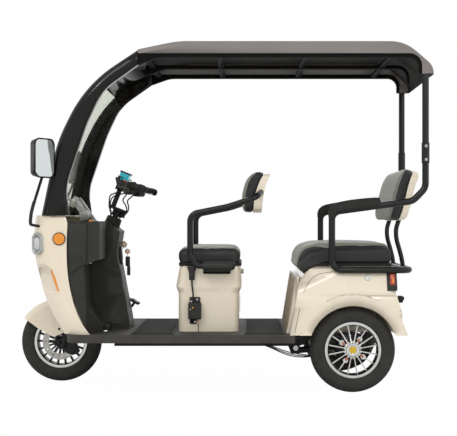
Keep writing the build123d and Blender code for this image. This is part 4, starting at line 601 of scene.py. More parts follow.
# painted shade: the frame under the roof is painted a darker, duller black than the other tubes, for the shade under
# the roof; it is matt and nearly hidden
roofFrameShade = grainySurface(
    "matt black frame with painted shade", "#0C0C0B", "#121211", 80, 3, 0.05, 0.65, 0.8, Specular_IOR_Level=0.08
)
skins["roof_frame"].data.materials[0] = roofFrameShade

# the surround's shoulders are rounded off by a body that follows its front line
shoulder = {
    "radius": 0.040, "half": 0.4252, "row": 0.411, "foot": 0.79, "rear": 0.42, "proud": 0.0004, "spacing": 0.012,
    "past": 0.08, "depth": 0.32,
    # up the pillar's middle: the rows along the rear edge lie behind this line
    "middleHeights": (0.868, 1.139, 1.295, 1.510, 1.604, 1.682), "middle": (0.800, 0.770, 0.715, 0.580, 0.460, 0.380),
}
arch = skins["windscreen_surround"]
rows = sorted(
    {(round(v.co.z, 4), round(v.co.x, 4)) for v in arch.data.vertices if abs(abs(v.co.y) - shoulder["row"]) < 0.0004}
)
frontLine = []
for z, x in rows:
    inFront = x > np.interp(z, shoulder["middleHeights"], shoulder["middle"])
    if inFront and (not frontLine or math.dist((x, z), frontLine[-1]) > shoulder["spacing"]):
        frontLine.append((x, z))
outward = []
for number, (x, z) in enumerate(frontLine):
    before, after = frontLine[max(number - 1, 0)], frontLine[min(number + 1, len(frontLine) - 1)]
    run = Vector((after[0] - before[0], after[1] - before[1])).normalized()
    outward.append((x + run.y * shoulder["proud"], z - run.x * shoulder["proud"]))
# both ends run on straight past the surround, then turn square behind it
lastRun = (Vector(outward[-1]) - Vector(outward[-2])).normalized()
past = Vector(outward[-1]) + lastRun * shoulder["past"]
behind = past - Vector((lastRun.y, -lastRun.x)) * shoulder["depth"]
outline = [(outward[0][0], shoulder["foot"])] + outward + [
    tuple(past), tuple(behind), (shoulder["rear"], shoulder["foot"])
]
bpy.ops.mesh.primitive_circle_add(vertices=len(outline), radius=1, location=(0, 0, 0), fill_type="NGON")
rounder = bpy.context.object
for vertex, (x, z) in zip(rounder.data.vertices, outline):
    vertex.co = (x, -shoulder["half"], z)
editAll()
bpy.ops.mesh.extrude_region_move(TRANSFORM_OT_translate={"value": (0, 2 * shoulder["half"], 0)})
faceOutwards()
bpy.ops.mesh.select_all(action="DESELECT")
bpy.ops.object.mode_set(mode="OBJECT")
bpy.context.tool_settings.mesh_select_mode = (False, True, False)
# both side outlines are picked along the front line only
alongFront = {(round(x, 5), round(z, 5)) for x, z in outline[:len(outward) + 2]}
for edge in rounder.data.edges:
    ends = [rounder.data.vertices[number].co for number in edge.vertices]
    isLevel = abs(ends[0].y - ends[1].y) < 1e-6
    edge.select = isLevel and all((round(end.x, 5), round(end.z, 5)) in alongFront for end in ends)
bpy.ops.object.mode_set(mode="EDIT")
bpy.ops.mesh.bevel(offset=shoulder["radius"], segments=9, affect="EDGES")
bpy.ops.object.mode_set(mode="OBJECT")
applyModifier(arch, "rounded shoulder", "BOOLEAN", operation="INTERSECT", solver="EXACT", object=rounder)
bpy.data.objects.remove(rounder)
bpy.ops.object.shade_smooth_by_angle(angle=math.radians(35))
print("shoulder rounded,", len(arch.data.polygons), "faces")

# the seat box reaches a little further forward below its hinge
boxReach = {"rear": -0.116, "below": 0.560, "stretch": 1.040}
for vertex in skins["driver_seat_box"].data.vertices:
    if vertex.co.z < boxReach["below"]:
        vertex.co.x = boxReach["rear"] + (vertex.co.x - boxReach["rear"]) * boxReach["stretch"]

# mirrors turn a little further outwards, so their glass shows
mirrorTurn = {
    "x": 0.839, "y": 0.500, "low": 1.046, "reach": 0.12, "degrees": 10, "sleeve": 0.0085,
    "stalk": (
        (0.9225, 0.4115, 0.8215), (0.9265, 0.4165, 0.8300), (0.9225, 0.4235, 0.8560), (0.9180, 0.4320, 0.8850),
        (0.9010, 0.4470, 0.9340),
    ),
}
for piece in (skins["mirror_housings"], mergedCopy("mirror_glasses", 30)):
    for vertex in piece.data.vertices:
        if vertex.co.z > mirrorTurn["low"] and abs(vertex.co.x - mirrorTurn["x"]) < mirrorTurn["reach"]:
            side = math.copysign(1, vertex.co.y)
            turn = -side * math.radians(mirrorTurn["degrees"])
            dx, dy = vertex.co.x - mirrorTurn["x"], vertex.co.y - side * mirrorTurn["y"]
            vertex.co.x = mirrorTurn["x"] + dx * math.cos(turn) - dy * math.sin(turn)
            vertex.co.y = side * mirrorTurn["y"] + dx * math.sin(turn) + dy * math.cos(turn)
for side, label in bothSides:
    stalk = tuple((x, side * y, z) for x, y, z in mirrorTurn["stalk"])
    tube(f"mirror_sleeve_{label}", stalk, mirrorTurn["sleeve"], *blackSleeve)
roof = mergedCopy("roof_shell", 40)


def isUnderRoofShade(centre, normal):
    # painted shade: what faces down, and the inside of the rear lip
    return normal.z < -0.2 or (abs(centre.y) < 0.39 and centre.z < 1.7 and normal.x > 0.3)


# painted shade under the roof, on its downward faces and the inside of its rear lip
paintFaces(roof, roofUnderShade, isUnderRoofShade)
print("panels and tubes smoothed")

# wheels
wheels = {
    "front_wheel": {"x": frontAxle, "y": 0.0, "side": 1, "tyre": "front_tyre", "rim": "front_rim", "turn": 0.0},
    "rear_wheel_left": {
        "x": -0.65, "y": 0.385, "side": 1, "tyre": "rear_tyre_left", "rim": "rear_rim_left", "turn": 33.75
    },
    "rear_wheel_right": {
        "x": -0.65, "y": -0.385, "side": -1, "tyre": "rear_tyre_right", "rim": "rear_rim_right", "turn": 33.75
    },
}
tyreSize = {"outer": 0.2094, "half": 0.0428, "bead": 0.1385, "blocks": 44, "groove": 0.0032, "sides": 176}
lip = {
    "face": 0.0385, "sides": 96,
    "rings": (
        (0.1192, -0.0165), (0.1215, -0.0085), (0.1245, -0.0005), (0.1275, 0.0002), (0.1335, 0.0004), (0.1372, -0.0002),
        (0.1378, -0.0012),
    ),
}


def fromAxle(centre, wheel):
    return math.hypot(centre.x - wheel["x"], centre.z - axleHeight)


def aroundAxle(centre, wheel):
    return math.atan2(centre.z - axleHeight, centre.x - wheel["x"])


def makeTyre(body, wheel):
    # sidewall, shoulder and crown as (radius, half width), then the tread is cut between its blocks
    half, outer, bead = tyreSize["half"], tyreSize["outer"], tyreSize["bead"]
    right = [
        (bead, 0.0352), (0.1425, 0.0368), (0.1500, 0.0402), (0.1600, 0.0422), (0.1715, half), (0.1830, 0.0419),
        (0.1905, 0.0392), (0.1975, 0.0335), (0.2025, 0.0262), (0.2065, 0.0168), (0.2088, 0.0082), (outer, 0.0),
    ]
    section = right + [(radius, -across) for radius, across in reversed(right[:-1])]
    tyre = lathe(
        body + "_tyre", (wheel["x"], wheel["y"], axleHeight), (0, 1, 0), section + [section[0]],
        body, tyreRubber, "tyre", sides=tyreSize["sides"], filled=False, angle=40,
    )
    step = 2 * math.pi / tyreSize["blocks"]

    def isGroove(centre, normal):
        radius = fromAxle(centre, wheel)
        across = abs(centre.y - wheel["y"])
        turn = (aroundAxle(centre, wheel) + (step / 2 if centre.y > wheel["y"] else 0)) % step
        shoulder = 0.0130 < across < 0.0385 and turn < step * 0.26
        return radius > 0.186 and shoulder

    useOnly(tyre)
    pickFaces(tyre, isGroove)
    bpy.ops.mesh.extrude_region_shrink_fatten(TRANSFORM_OT_shrink_fatten={"value": -tyreSize["groove"]})
    # a raised ring above the rim's flange and a mould line on the sidewall
    pickFaces(tyre, lambda c, n: 0.1435 < fromAxle(c, wheel) < 0.1495)
    bpy.ops.mesh.inset(thickness=0.0012, depth=0.0007)
    bpy.ops.object.mode_set(mode="OBJECT")
    bpy.ops.object.shade_smooth_by_angle(angle=math.radians(38))
    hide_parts(wheel["tyre"])


for body, wheel in wheels.items():
    makeTyre(body, wheel)
    skins[wheel["rim"]] = mergedCopy(wheel["rim"], 35)
    side = wheel["side"]
    # parked with a spoke pair either side of upright
    editAll()
    middle = (wheel["x"], wheel["y"], axleHeight)
    bpy.ops.transform.rotate(
        value=math.radians(wheel["turn"]), orient_axis="Y", orient_type="GLOBAL", center_override=middle
    )
    bpy.ops.object.mode_set(mode="OBJECT")
    # a polished lip laid on the rim's outer flange, on both faces in front
    for number, outward in enumerate((side, -side) if body == "front_wheel" else (side,)):
        lathe(
            f"{body}_lip_{number}", (wheel["x"], wheel["y"] + outward * lip["face"], axleHeight), (0, outward, 0),
            lip["rings"], body, machinedAlloy, "rim", sides=lip["sides"], filled=False, angle=35,
        )

# the front disc's drilled holes get a countersink ring each, painted black as painted shade inside the holes, and bolts
# hold its black carrier
disc = {
    "sinks": 12, "sinkCircle": 0.0775, "sinkY": 0.0461, "carrier": 0.063, "bolts": 5, "boltCircle": 0.031,
    "bolt": 0.0044, "boltTurn": 20,
}
holeShadeRings = ((0.0052, 0.0), (0.0050, 0.0003), (0.0041, 0.0001), (0.0040, -0.0030))


def onWheel(wheel, y, radius, degrees):
    turn = math.radians(degrees)
    return (wheel["x"] + radius * math.cos(turn), y, axleHeight + radius * math.sin(turn))


front = wheels["front_wheel"]
# painted shade: each hole's countersink ring is black
for number in range(disc["sinks"]):
    centre = onWheel(front, disc["sinkY"], disc["sinkCircle"], number * 360 / disc["sinks"])
    lathe(
        f"front_disc_hole_shade_{number}", centre, (0, 1, 0), holeShadeRings, "front_wheel", satinSteel, "disc_steel", sides=16,
        filled=False,
    )
paintFaces(skins["brake_disc"], wheelBlack, lambda c, n: fromAxle(c, front) < disc["carrier"])
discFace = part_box("brake_disc")[1].y
for number in range(disc["bolts"]):
    centre = onWheel(front, discFace - 0.0002, disc["boltCircle"], disc["boltTurn"] + number * 360 / disc["bolts"])
    bolt(f"disc_bolt_{number}", centre, (0, 1, 0), disc["bolt"], "front_wheel", slot="disc_steel")

rearHub = {
    "lugCircle": 0.055, "lugs": 4, "lugFace": 0.0203, "nut": 0.0062, "nutTurn": 33.75, "spokeFace": 0.012,
    "machined": 0.121, "capFace": 0.0262,
    "capRing": ((0.0330, 0.0), (0.0330, 0.0052), (0.0315, 0.0072), (0.0200, 0.0090), (0.0178, 0.0080), (0.0178, 0.0)),
    "cap": ((0.0177, 0.0), (0.0177, 0.0074), (0.0166, 0.0096), (0.0130, 0.0106), (0.0070, 0.0111), (0.0010, 0.0112)),
    "valve": ((0.118, 0.018, -0.012), (0.112, 0.026, -0.0115), (0.106, 0.033, -0.011)), "valveRadius": 0.0042,
}
for body in ("rear_wheel_left", "rear_wheel_right"):
    wheel = wheels[body]
    side = wheel["side"]
    outward = (0, side, 0)

    def isMachined(centre, normal):
        # outer faces of the spokes, lug seats and hub
        isOuter = normal.y * side > 0.9 and (centre.y - wheel["y"]) * side > rearHub["spokeFace"]
        return isOuter and fromAxle(centre, wheel) < rearHub["machined"]

    paintFaces(skins[wheel["rim"]], machinedAlloy, isMachined)
    for number in range(rearHub["lugs"]):
        centre = onWheel(
            wheel, wheel["y"] + side * rearHub["lugFace"], rearHub["lugCircle"],
            rearHub["nutTurn"] + number * 360 / rearHub["lugs"],
        )
        bolt(f"{body}_nut_{number}", centre, outward, rearHub["nut"], body, copperPlate, "rim")
    # silver ring and yellow cap over the axle's end
    hub = (wheel["x"], wheel["y"] + side * rearHub["capFace"], axleHeight)
    lathe(f"{body}_cap_ring", hub, outward, rearHub["capRing"], body, machinedAlloy, "rim", sides=48, filled=False)
    lathe(f"{body}_cap", hub, outward, rearHub["cap"], body, yellowCap, "rim", sides=48, filled=False)
    # tyre valve through the rim
    valve = tuple((wheel["x"] + x, wheel["y"] + side * y, axleHeight + z) for x, y, z in rearHub["valve"])
    tube(f"{body}_valve", valve, rearHub["valveRadius"], body, blackRubber, "tyre")
print("wheels made")

# lamps and reflectors on the cowl
cowl = {
    "lamp": (0.893, 0.3835, 0.729), "lampAim": (0.72, 0.69, 0),
    "bowl": ((0.006, -0.006), (0.0165, -0.004), (0.024, 0.0015), (0.0295, 0.0085)),
    "reflector": (0.786, 0.4098, 0.753),
    "rim": ((0.0315, 0.0), (0.0315, 0.0058), (0.0300, 0.0072), (0.0272, 0.0074), (0.0270, 0.0040)),
}
for side, label in bothSides:
    mirrored = Vector((1, side, 1))
    lathe(
        f"reflector_rim_{label}", Vector(cowl["reflector"]) * mirrored, (0, side, 0), cowl["rim"],
        *blackTrim, sides=48, filled=False,
    )
    # the lamp's bowl and its round projector
    lathe(
        f"lamp_bowl_{label}", Vector(cowl["lamp"]) * mirrored, Vector(cowl["lampAim"]) * mirrored, cowl["bowl"],
        "chassis", metallised, "lamp_silver", sides=36,
    )
print("cowl details made")

# seats


stuffing = {"steps": 20, "quality": 4, "fade": 0.012}


def padOut(piece, pressure, cap, voxel, keepLow):
    # voxel remesh, then cloth blown up by its own pressure, with no point moving past the cap
    applyModifier(piece, "even", "REMESH", mode="VOXEL", voxel_size=voxel)
    before = [vertex.co.copy() for vertex in piece.data.vertices]
    cloth = piece.modifiers.new("stuffing", "CLOTH")
    cloth.settings.use_pressure = True
    cloth.settings.uniform_pressure_force = pressure
    cloth.settings.effector_weights.gravity = 0
    cloth.settings.quality = stuffing["quality"]
    cloth.point_cache.frame_start = 1
    cloth.point_cache.frame_end = stuffing["steps"]
    scene = bpy.context.scene
    for step in range(1, stuffing["steps"] + 1):
        scene.frame_set(step)
    useOnly(piece)
    bpy.ops.object.modifier_apply(modifier="stuffing")
    scene.frame_set(1)
    for vertex, start in zip(piece.data.vertices, before):
        move = vertex.co - start
        if keepLow is not None and start.z < keepLow:
            move *= max(0.0, 1 - (keepLow - start.z) / stuffing["fade"])
            move.z = 0
        if move.length > cap:
            move *= cap / move.length
        vertex.co = start + move


def smoothOut(piece, repeats, factor=0.5):
    applyModifier(piece, "calm", "SMOOTH", factor=factor, iterations=repeats)


def alongLine(line, share):
    # a place on a profile, by its share of the profile's points
    step = max(0.0, min(1.0, share)) * (len(line) - 1)
    first = min(int(step), len(line) - 2)
    return Vector(line[first]).lerp(Vector(line[first + 1]), step - first)


def formed(frontLine, backLine, halfWidth, corner, crown=0.0, cuts=23):
    # a cube cut into small faces and pressed between two side profiles, its outline's corners rounded
    bpy.ops.mesh.primitive_cube_add(size=2, location=(0, 0, 0))
    piece = bpy.context.object
    editAll()
    bpy.ops.mesh.subdivide(number_cuts=cuts)
    bpy.ops.object.mode_set(mode="OBJECT")
    halfHeight = (Vector(frontLine[-1]) - Vector(frontLine[0])).length / 2
    for vertex in piece.data.vertices:
        deep, across, up = vertex.co
        swell = crown * max(deep, 0) * (1 - across ** 4) * (1 - up ** 4)
        across *= halfWidth
        up *= halfHeight
        pastSide, pastTop = abs(across) - (halfWidth - corner), abs(up) - (halfHeight - corner)
        if pastSide > 0 and pastTop > 0:
            pull = max(pastSide, pastTop) / math.hypot(pastSide, pastTop)
            across = math.copysign(halfWidth - corner + pastSide * pull, across)
            up = math.copysign(halfHeight - corner + pastTop * pull, up)
        share = (up / halfHeight + 1) / 2
        front, back = alongLine(frontLine, share), alongLine(backLine, share)
        spot = back.lerp(front, (deep + 1) / 2)
        vertex.co = (spot[0] + swell, across, spot[1])
    piece.data.update()
    return piece


def markFront(piece, frontLine, backLine):
    # each point learns how near it is to the front face: 0 at the back line, 1 at the front line
    places = np.empty(len(piece.data.vertices) * 3)
    piece.data.vertices.foreach_get("co", places)
    places = places.reshape(-1, 3)[:, (0, 2)]
    nearest, share = np.full(len(places), 1e9), np.zeros(len(places))
    for step in range(61):
        back, front = alongLine(backLine, step / 60), alongLine(frontLine, step / 60)
        reach = np.array(front - back)
        offset = places - np.array(back)
        along = offset @ reach / (reach @ reach)
        away = np.linalg.norm(offset - np.outer(along, reach), axis=1)
        closer = away < nearest
        nearest[closer], share[closer] = away[closer], along[closer]
    piece.data.attributes.new("front", "FLOAT", "POINT").data.foreach_set("value", share)


def finishPad(piece, name, node, cover, body, pressure, cap, voxel, keepLow=None, lines=None):
    padOut(piece, pressure, cap, voxel, keepLow)
    smoothOut(piece, 6)
    applyModifier(piece, "finer", "SUBSURF", levels=1, render_levels=1)
    if lines:
        markFront(piece, *lines)
    handOver(piece, name, body, cover, "seat_cover", 60)
    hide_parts(node)


def cushionFrom(node, shapePoint):
    # starts as an evenly meshed copy of the CAD cushion, its points moved by shapePoint
    piece = copyOf(node)
    applyModifier(piece, "even", "REMESH", mode="VOXEL", voxel_size=0.008)
    for vertex in piece.data.vertices:
        vertex.co = shapePoint(vertex.co)
    piece.data.update()
    return piece


# each cushion's ends move from rear and front to rearTo and frontTo
driverSeat = {"half": 0.264, "rear": -0.102, "front": 0.208, "rearTo": -0.105, "frontTo": 0.219, "shoulder": 0.016}
benchSeat = {"half": 0.360, "rear": -0.850, "front": -0.354, "rearTo": -0.853, "frontTo": -0.372, "crown": 0.007}
seatRise = {"low": 0.655, "high": 0.045, "foot": 0.630, "footFade": 0.012}


def stretched(place, seat):
    # how far along the cushion the point is, its new x, and how near it is to the top
    share = (place.x - seat["rear"]) / (seat["front"] - seat["rear"])
    x = seat["rearTo"] + share * (seat["frontTo"] - seat["rearTo"])
    return share, x, max(0.0, min(1.0, (place.z - seatRise["low"]) / seatRise["high"]))


def driverPoint(place):
    # longer at the front, and lower along its sides than at its crown
    share, x, high = stretched(place, driverSeat)
    edge = max(abs(place.y) / driverSeat["half"], abs(share * 2 - 1))
    # the foot stays in its base
    x += (place.x - x) * (1 - max(0.0, min(1.0, (place.z - seatRise["foot"]) / seatRise["footFade"])))
    return Vector((x, place.y, place.z - high * driverSeat["shoulder"] * edge ** 4))


def benchPoint(place):
    # fuller along its middle
    share, x, high = stretched(place, benchSeat)
    return Vector((x, place.y, place.z + high * benchSeat["crown"] * (1 - (place.y / benchSeat["half"]) ** 2)))


finishPad(
    cushionFrom("driver_seat_cushion", driverPoint), "driver_cushion", "driver_seat_cushion", driverCover,
    "driver_seat",
    pressure=4.0, cap=0.009, voxel=0.006, keepLow=0.640,
)
finishPad(
    cushionFrom("rear_seat_cushion", benchPoint), "bench_cushion", "rear_seat_cushion", benchCover, "bench_seat",
    pressure=4.0, cap=0.011, voxel=0.0075, keepLow=0.640,
)

# side profiles as (x, z) from the foot to the top, each seen from the left
driverBack = {
    "half": 0.232, "corner": 0.060,
    "front": (
        (-0.122, 0.885), (-0.118, 0.905), (-0.118, 0.940), (-0.119, 0.970), (-0.125, 1.001), (-0.135, 1.036),
        (-0.148, 1.059), (-0.165, 1.077), (-0.182, 1.088), (-0.202, 1.092),
    ),
    "seam": (
        (-0.163, 0.882), (-0.165, 0.905), (-0.167, 0.934), (-0.170, 0.958), (-0.176, 0.985), (-0.186, 1.015),
        (-0.196, 1.041), (-0.206, 1.060), (-0.216, 1.075), (-0.225, 1.086),
    ),
    "rear": (
        (-0.207, 0.882), (-0.210, 0.905), (-0.212, 0.934), (-0.215, 0.958), (-0.220, 0.990), (-0.228, 1.022),
        (-0.239, 1.046), (-0.247, 1.064), (-0.249, 1.077), (-0.243, 1.086),
    ),
}
benchBack = {
    "half": 0.328, "corner": 0.070,
    "front": (
        (-0.848, 0.840), (-0.846, 0.868), (-0.852, 0.902), (-0.859, 0.930), (-0.867, 0.962), (-0.876, 0.996),
        (-0.886, 1.030), (-0.899, 1.064), (-0.914, 1.090), (-0.932, 1.106),
    ),
    "seam": (
        (-0.890, 0.842), (-0.898, 0.868), (-0.907, 0.900), (-0.914, 0.928), (-0.921, 0.960), (-0.928, 0.992),
        (-0.936, 1.024), (-0.946, 1.054), (-0.957, 1.078), (-0.968, 1.094),
    ),
    "rear": (
        (-0.926, 0.846), (-0.934, 0.872), (-0.941, 0.902), (-0.948, 0.930), (-0.955, 0.962), (-0.963, 0.992),
        (-0.972, 1.022), (-0.982, 1.048), (-0.988, 1.072), (-0.985, 1.088),
    ),
}


def backrest(sizes, padName, padNode, shellNode):
    behind = tuple((x - 0.0012, z) for x, z in sizes["seam"])
    shell = formed(behind, sizes["rear"], sizes["half"] - 0.003, sizes["corner"])
    bpy.ops.object.mode_set(mode="EDIT")
    faceOutwards()
    bpy.ops.object.mode_set(mode="OBJECT")
    applyModifier(
        shell, "moulded edge", "BEVEL", width=0.010, segments=4, limit_method="ANGLE", angle_limit=math.radians(50)
    )
    smoothOut(shell, 2)
    handOver(shell, shellNode + "_skin", "chassis", creamEnamel, "cream_panel", 50)
    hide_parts(shellNode)
    pad = formed(sizes["front"], sizes["seam"], sizes["half"], sizes["corner"], crown=0.006)
    finishPad(
        pad, padName, padNode, backCover, "chassis", pressure=3.0, cap=0.006, voxel=0.006, lines=(
            sizes["front"], sizes["seam"]
        )
    )


backrest(driverBack, "driver_back_cushion", "driver_backrest_pad", "driver_backrest_shell")
backrest(benchBack, "bench_back_cushion", "rear_backrest_pad", "rear_backrest_shell")
backSupport = {
    "y": 0.180, "radius": 0.0118,
    "line": (
        (-0.928, 0.604), (-0.926, 0.632), (-0.912, 0.690), (-0.894, 0.748), (-0.892, 0.800), (-0.902, 0.830),
        (-0.909, 0.850),
    ),
}
for side, label in bothSides:
    path = tuple((x, side * backSupport["y"], z) for x, z in backSupport["line"])
    support = tube(f"backrest_support_{label}", path, backSupport["radius"], "chassis", coatedTube, "black_tube")
    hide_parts("backrest_supports")

# moulded armrests: stations along the rail as (x, z, lean, above, below)
armrest = {
    "y": 0.410, "half": 0.0245, "sides": 28, "oval": 0.80,
    "stations": (
        (-0.5480, 0.8540, 90, 0.0135, 0.0165), (-0.5480, 0.8560, 90, 0.0165, 0.0185),
        (-0.5480, 0.8660, 89, 0.0175, 0.0190), (-0.5500, 0.8790, 72, 0.0210, 0.0190),
        (-0.5585, 0.8895, 48, 0.0270, 0.0180), (-0.5710, 0.8955, 25, 0.0320, 0.0170),
        (-0.5880, 0.8990, 10, 0.0350, 0.0165),
        (-0.6150, 0.9020, 8, 0.0375, 0.0165), (-0.6500, 0.9065, 8, 0.0390, 0.0165),
        (-0.6900, 0.9115, 8, 0.0385, 0.0165),
        (-0.7250, 0.9165, 8, 0.0370, 0.0165), (-0.7550, 0.9205, 8, 0.0350, 0.0160),
        (-0.7720, 0.9235, 9, 0.0325, 0.0080),
        (-0.7820, 0.9260, 10, 0.0290, -0.0020), (-0.7860, 0.9265, 10, 0.0255, -0.0080),
    ),
}
for side, label in bothSides:
    stations = armrest["stations"]
    bpy.ops.mesh.primitive_grid_add(
        x_subdivisions=armrest["sides"], y_subdivisions=(len(stations) - 1) * 3, size=2, location=(0, 0, 0)
    )
    pad = bpy.context.object
    for vertex in pad.data.vertices:
        around, step = (vertex.co.x + 1) * math.pi, (vertex.co.y + 1) / 2 * (len(stations) - 1)
        first = min(int(step + 1e-6), len(stations) - 2)
        x, z, lean, above, below = (a + (b - a) * (step - first) for a, b in zip(stations[first], stations[first + 1]))
        rise, width = math.sin(around), math.cos(around)
        # a squarish oval, fuller over the tube than under it
        rise = math.copysign(abs(rise) ** armrest["oval"], rise) * (above if rise > 0 else below)
        width = math.copysign(
            abs(width) ** armrest["oval"], width
        ) * armrest["half"] * min(1.0, (above + below + 0.02) / 0.05)
        tilt = math.radians(lean)
        vertex.co = (x + rise * math.sin(tilt), side * armrest["y"] + width, z + rise * math.cos(tilt))
    editAll()
    bpy.ops.mesh.remove_doubles(threshold=0.00005)
    bpy.ops.mesh.fill_holes(sides=0)
    faceOutwards()
    bpy.ops.object.mode_set(mode="OBJECT")
    smoothOut(pad, 2, 0.3)
    handOver(pad, f"armrest_{label}", *rubberTrim, 50)
    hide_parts("armrest_pads")
print("seats padded")

# body details


# the front board is painted a darker ribbed tan: painted shade, for the shade it stands in under the seat
body = skins["rear_body"]
shadedFrontBoard = grainySurface("ribbed front board with painted shade", "#A89880", "#9C8B72", 60, 5, 0.1, 0.35, 0.5)
paintFaces(body, shadedFrontBoard, lambda c, n: n.x > 0.85 and abs(c.y) < 0.335 and c.z < 0.568 and c.x > -0.380)
board = {
    "x": -0.3497, "z": 0.425, "ribs": 9, "first": -0.30, "step": 0.075, "rib": (0.0022, 0.012, 0.262), "lean": -9.3
}
# the board's ribs take the same painted shade
for number in range(board["ribs"]):
    block(
        f"board_rib_{number}", (board["x"], board["first"] + number * board["step"], board["z"]), board["rib"],
        "chassis", shadedFrontBoard, "cream_panel", turn=(0, math.radians(board["lean"]), 0), round=0.0009,
    )
seam = {
    "radius": 0.0011, "proud": 0.0002,
    "line": (
        (-0.364, 0.296), (-0.378, 0.368), (-0.394, 0.436), (-0.410, 0.496), (-0.432, 0.542), (-0.467, 0.574),
        (-0.512, 0.588), (-0.572, 0.591),
    ),
}
wellEdge = grainySurface("shadowed panel joint", "#6E6456", "#5E5548", 20, 2, 0.02, 0.6, 0.7)
chargeCap = {
    "x": -0.723, "z": 0.561,
    "rings": (
        (0.0142, 0.0), (0.0142, 0.0030), (0.0130, 0.0042), (0.0098, 0.0042), (0.0090, 0.0030), (0.0050, 0.0030),
        (0.0042, 0.0040), (0.0006, 0.0042),
    ),
}
tailLamp = {
    "x": -0.842, "z": 0.545, "lean": 11, "red": (0.025, 0.0050, 0.066), "amber": (0.009, 0.0056, 0.026),
    "frameAbove": 0.45,
}
tailHook = {
    "place": (-0.893, 0.330, 0.452), "size": (0.024, 0.036, 0.034), "radius": 0.0035,
    "loop": ((-0.900, 0.462), (-0.909, 0.466), (-0.911, 0.450), (-0.902, 0.442)),
}
outside = 0.60  # half width from which the body's sides are looked for
for side, label in bothSides:
    spots = [onSurface(body, (x, side * outside, z), (0, -side, 0)) for x, z in seam["line"]]
    path = [(spot.x, spot.y + side * seam["proud"], spot.z) for spot in spots if spot]
    if len(path) > 3:
        tube(f"body_seam_{label}", path, seam["radius"], "chassis", wellEdge, "cream_panel")
    # filler cap of the charging socket, on the leaning side
    spot = onSurface(body, (chargeCap["x"], side * outside, chargeCap["z"]), (0, -side, 0))
    if spot and side > 0:
        lathe(
            "charge_cap", spot - Vector((0, 0.001, 0)), (0, 0.94, 0.34), chargeCap["rings"], "chassis", zincPlate,
            "lamp_silver", sides=32,
        )
    # lamp: a red lens and a slim amber one in the black frame
    spot = onSurface(skins["tail_lamps"], (tailLamp["x"], side * outside, tailLamp["z"]), (0, -side, 0))
    if spot:
        lean = (side * math.radians(tailLamp["lean"]), 0, 0)
        block(
            f"tail_red_{label}", spot + Vector((-0.002, 0, 0.004)), tailLamp["red"], "chassis", redLamp, "lamp_red",
            turn=lean, round=0.002,
        )
        block(
            f"tail_amber_{label}", spot + Vector((-0.004, side * 0.0012, 0.004)), tailLamp["amber"], "chassis",
            amberLamp, "lamp_amber",
            turn=lean, round=0.0015,
        )
    hook = Vector(tailHook["place"]) * Vector((1, side, 1))
    block(f"tail_hook_{label}", hook, tailHook["size"], *steelTrim, round=0.005, segments=3)
    loop = tuple((x, hook.y, z) for x, z in tailHook["loop"])
    tube(f"tail_hook_loop_{label}", loop, tailHook["radius"], *steelTrim)
paintFaces(skins["tail_lamps"], grainedBlack, lambda c, n: c.z > tailLamp["frameAbove"])
print("rear body details made")

# the pocket's side panel stands out of the leg shield's side
pocket = {
    "thick": 0.010, "y": 0.401, "edge": 0.0045,
    "outline": ((0.744, 0.828), (0.652, 0.828), (0.652, 0.636), (0.736, 0.580)),
}
for side, label in bothSides:
    bpy.ops.mesh.primitive_circle_add(vertices=len(pocket["outline"]), radius=0.1, location=(0, 0, 0), fill_type="NGON")
    panel = bpy.context.object
    for vertex, (x, z) in zip(panel.data.vertices, pocket["outline"]):
        vertex.co = (x, side * pocket["y"], z)
    editAll()
    bpy.ops.mesh.extrude_region_move(TRANSFORM_OT_translate={"value": (0, side * pocket["thick"], 0)})
    faceOutwards()
    bpy.ops.mesh.bevel(offset=pocket["edge"], segments=3, affect="EDGES")
    bpy.ops.object.mode_set(mode="OBJECT")
    handOver(panel, f"pocket_side_{label}", *blackTrim, 40)

# closes the slot between the shield's foot and the floor, clear of the fender's sweep
shieldFoot = {"place": (0.584, 0.0, 0.302), "size": (0.038, 0.420, 0.034)}
block("shield_foot", shieldFoot["place"], shieldFoot["size"], *blackTrim, round=0.004)
# lock and keys on the column's rear; the lock's round plate is drawn out into an oval
lock = {
    "place": (0.5405, 0, 0.657), "x": 0.5345, "oval": (1, 0.72, 1.65),
    "rings": (
        (0.0300, -0.004), (0.0300, 0.010), (0.0270, 0.0165), (0.0160, 0.0190), (0.0130, 0.0165), (0.0060, 0.0165)
    ),
}
keys = {
    "key": ((0.520, 0, 0.690), (0.517, 0.001, 0.706), (0.515, 0.003, 0.717)), "keyRadius": 0.0022,
    "tags": ((0.514, 0.717, 0.0175), (0.495, 0.680, 0.0140)), "linkRadius": 0.0014,
    "links": {
        "a": ((0.505, 0.0, 0.703), (0.500, 0.001, 0.698), (0.499, 0.0, 0.692)),
        "b": ((0.495, 0.0, 0.667), (0.4945, 0.001, 0.660), (0.4945, 0.0, 0.652)),
        "c": ((0.493, 0.0, 0.604), (0.491, 0.001, 0.603), (0.490, 0.0, 0.602)),
    },
    "fobs": {
        "upper": ((0.494, 0.0, 0.628), (0.024, 0.012, 0.052), 0.0055),
        "lower": ((0.489, 0.001, 0.579), (0.018, 0.011, 0.050), 0.0050),
    },
}
lockPlate = lathe("ignition_lock", lock["place"], (-1, 0, 0.12), lock["rings"], *steelTrim, sides=40)
useOnly(lockPlate)
editAll()
bpy.ops.transform.resize(value=lock["oval"], center_override=(lock["x"], 0, lock["place"][2]))
bpy.ops.object.mode_set(mode="OBJECT")
tube("ignition_key", keys["key"], keys["keyRadius"], *zincTrim)
whiteEnamel = grainySurface("white enamel tag", "#E9E9E6", "#DEDEDA", 10, 1.0, 0.02, 0.25, 0.35)
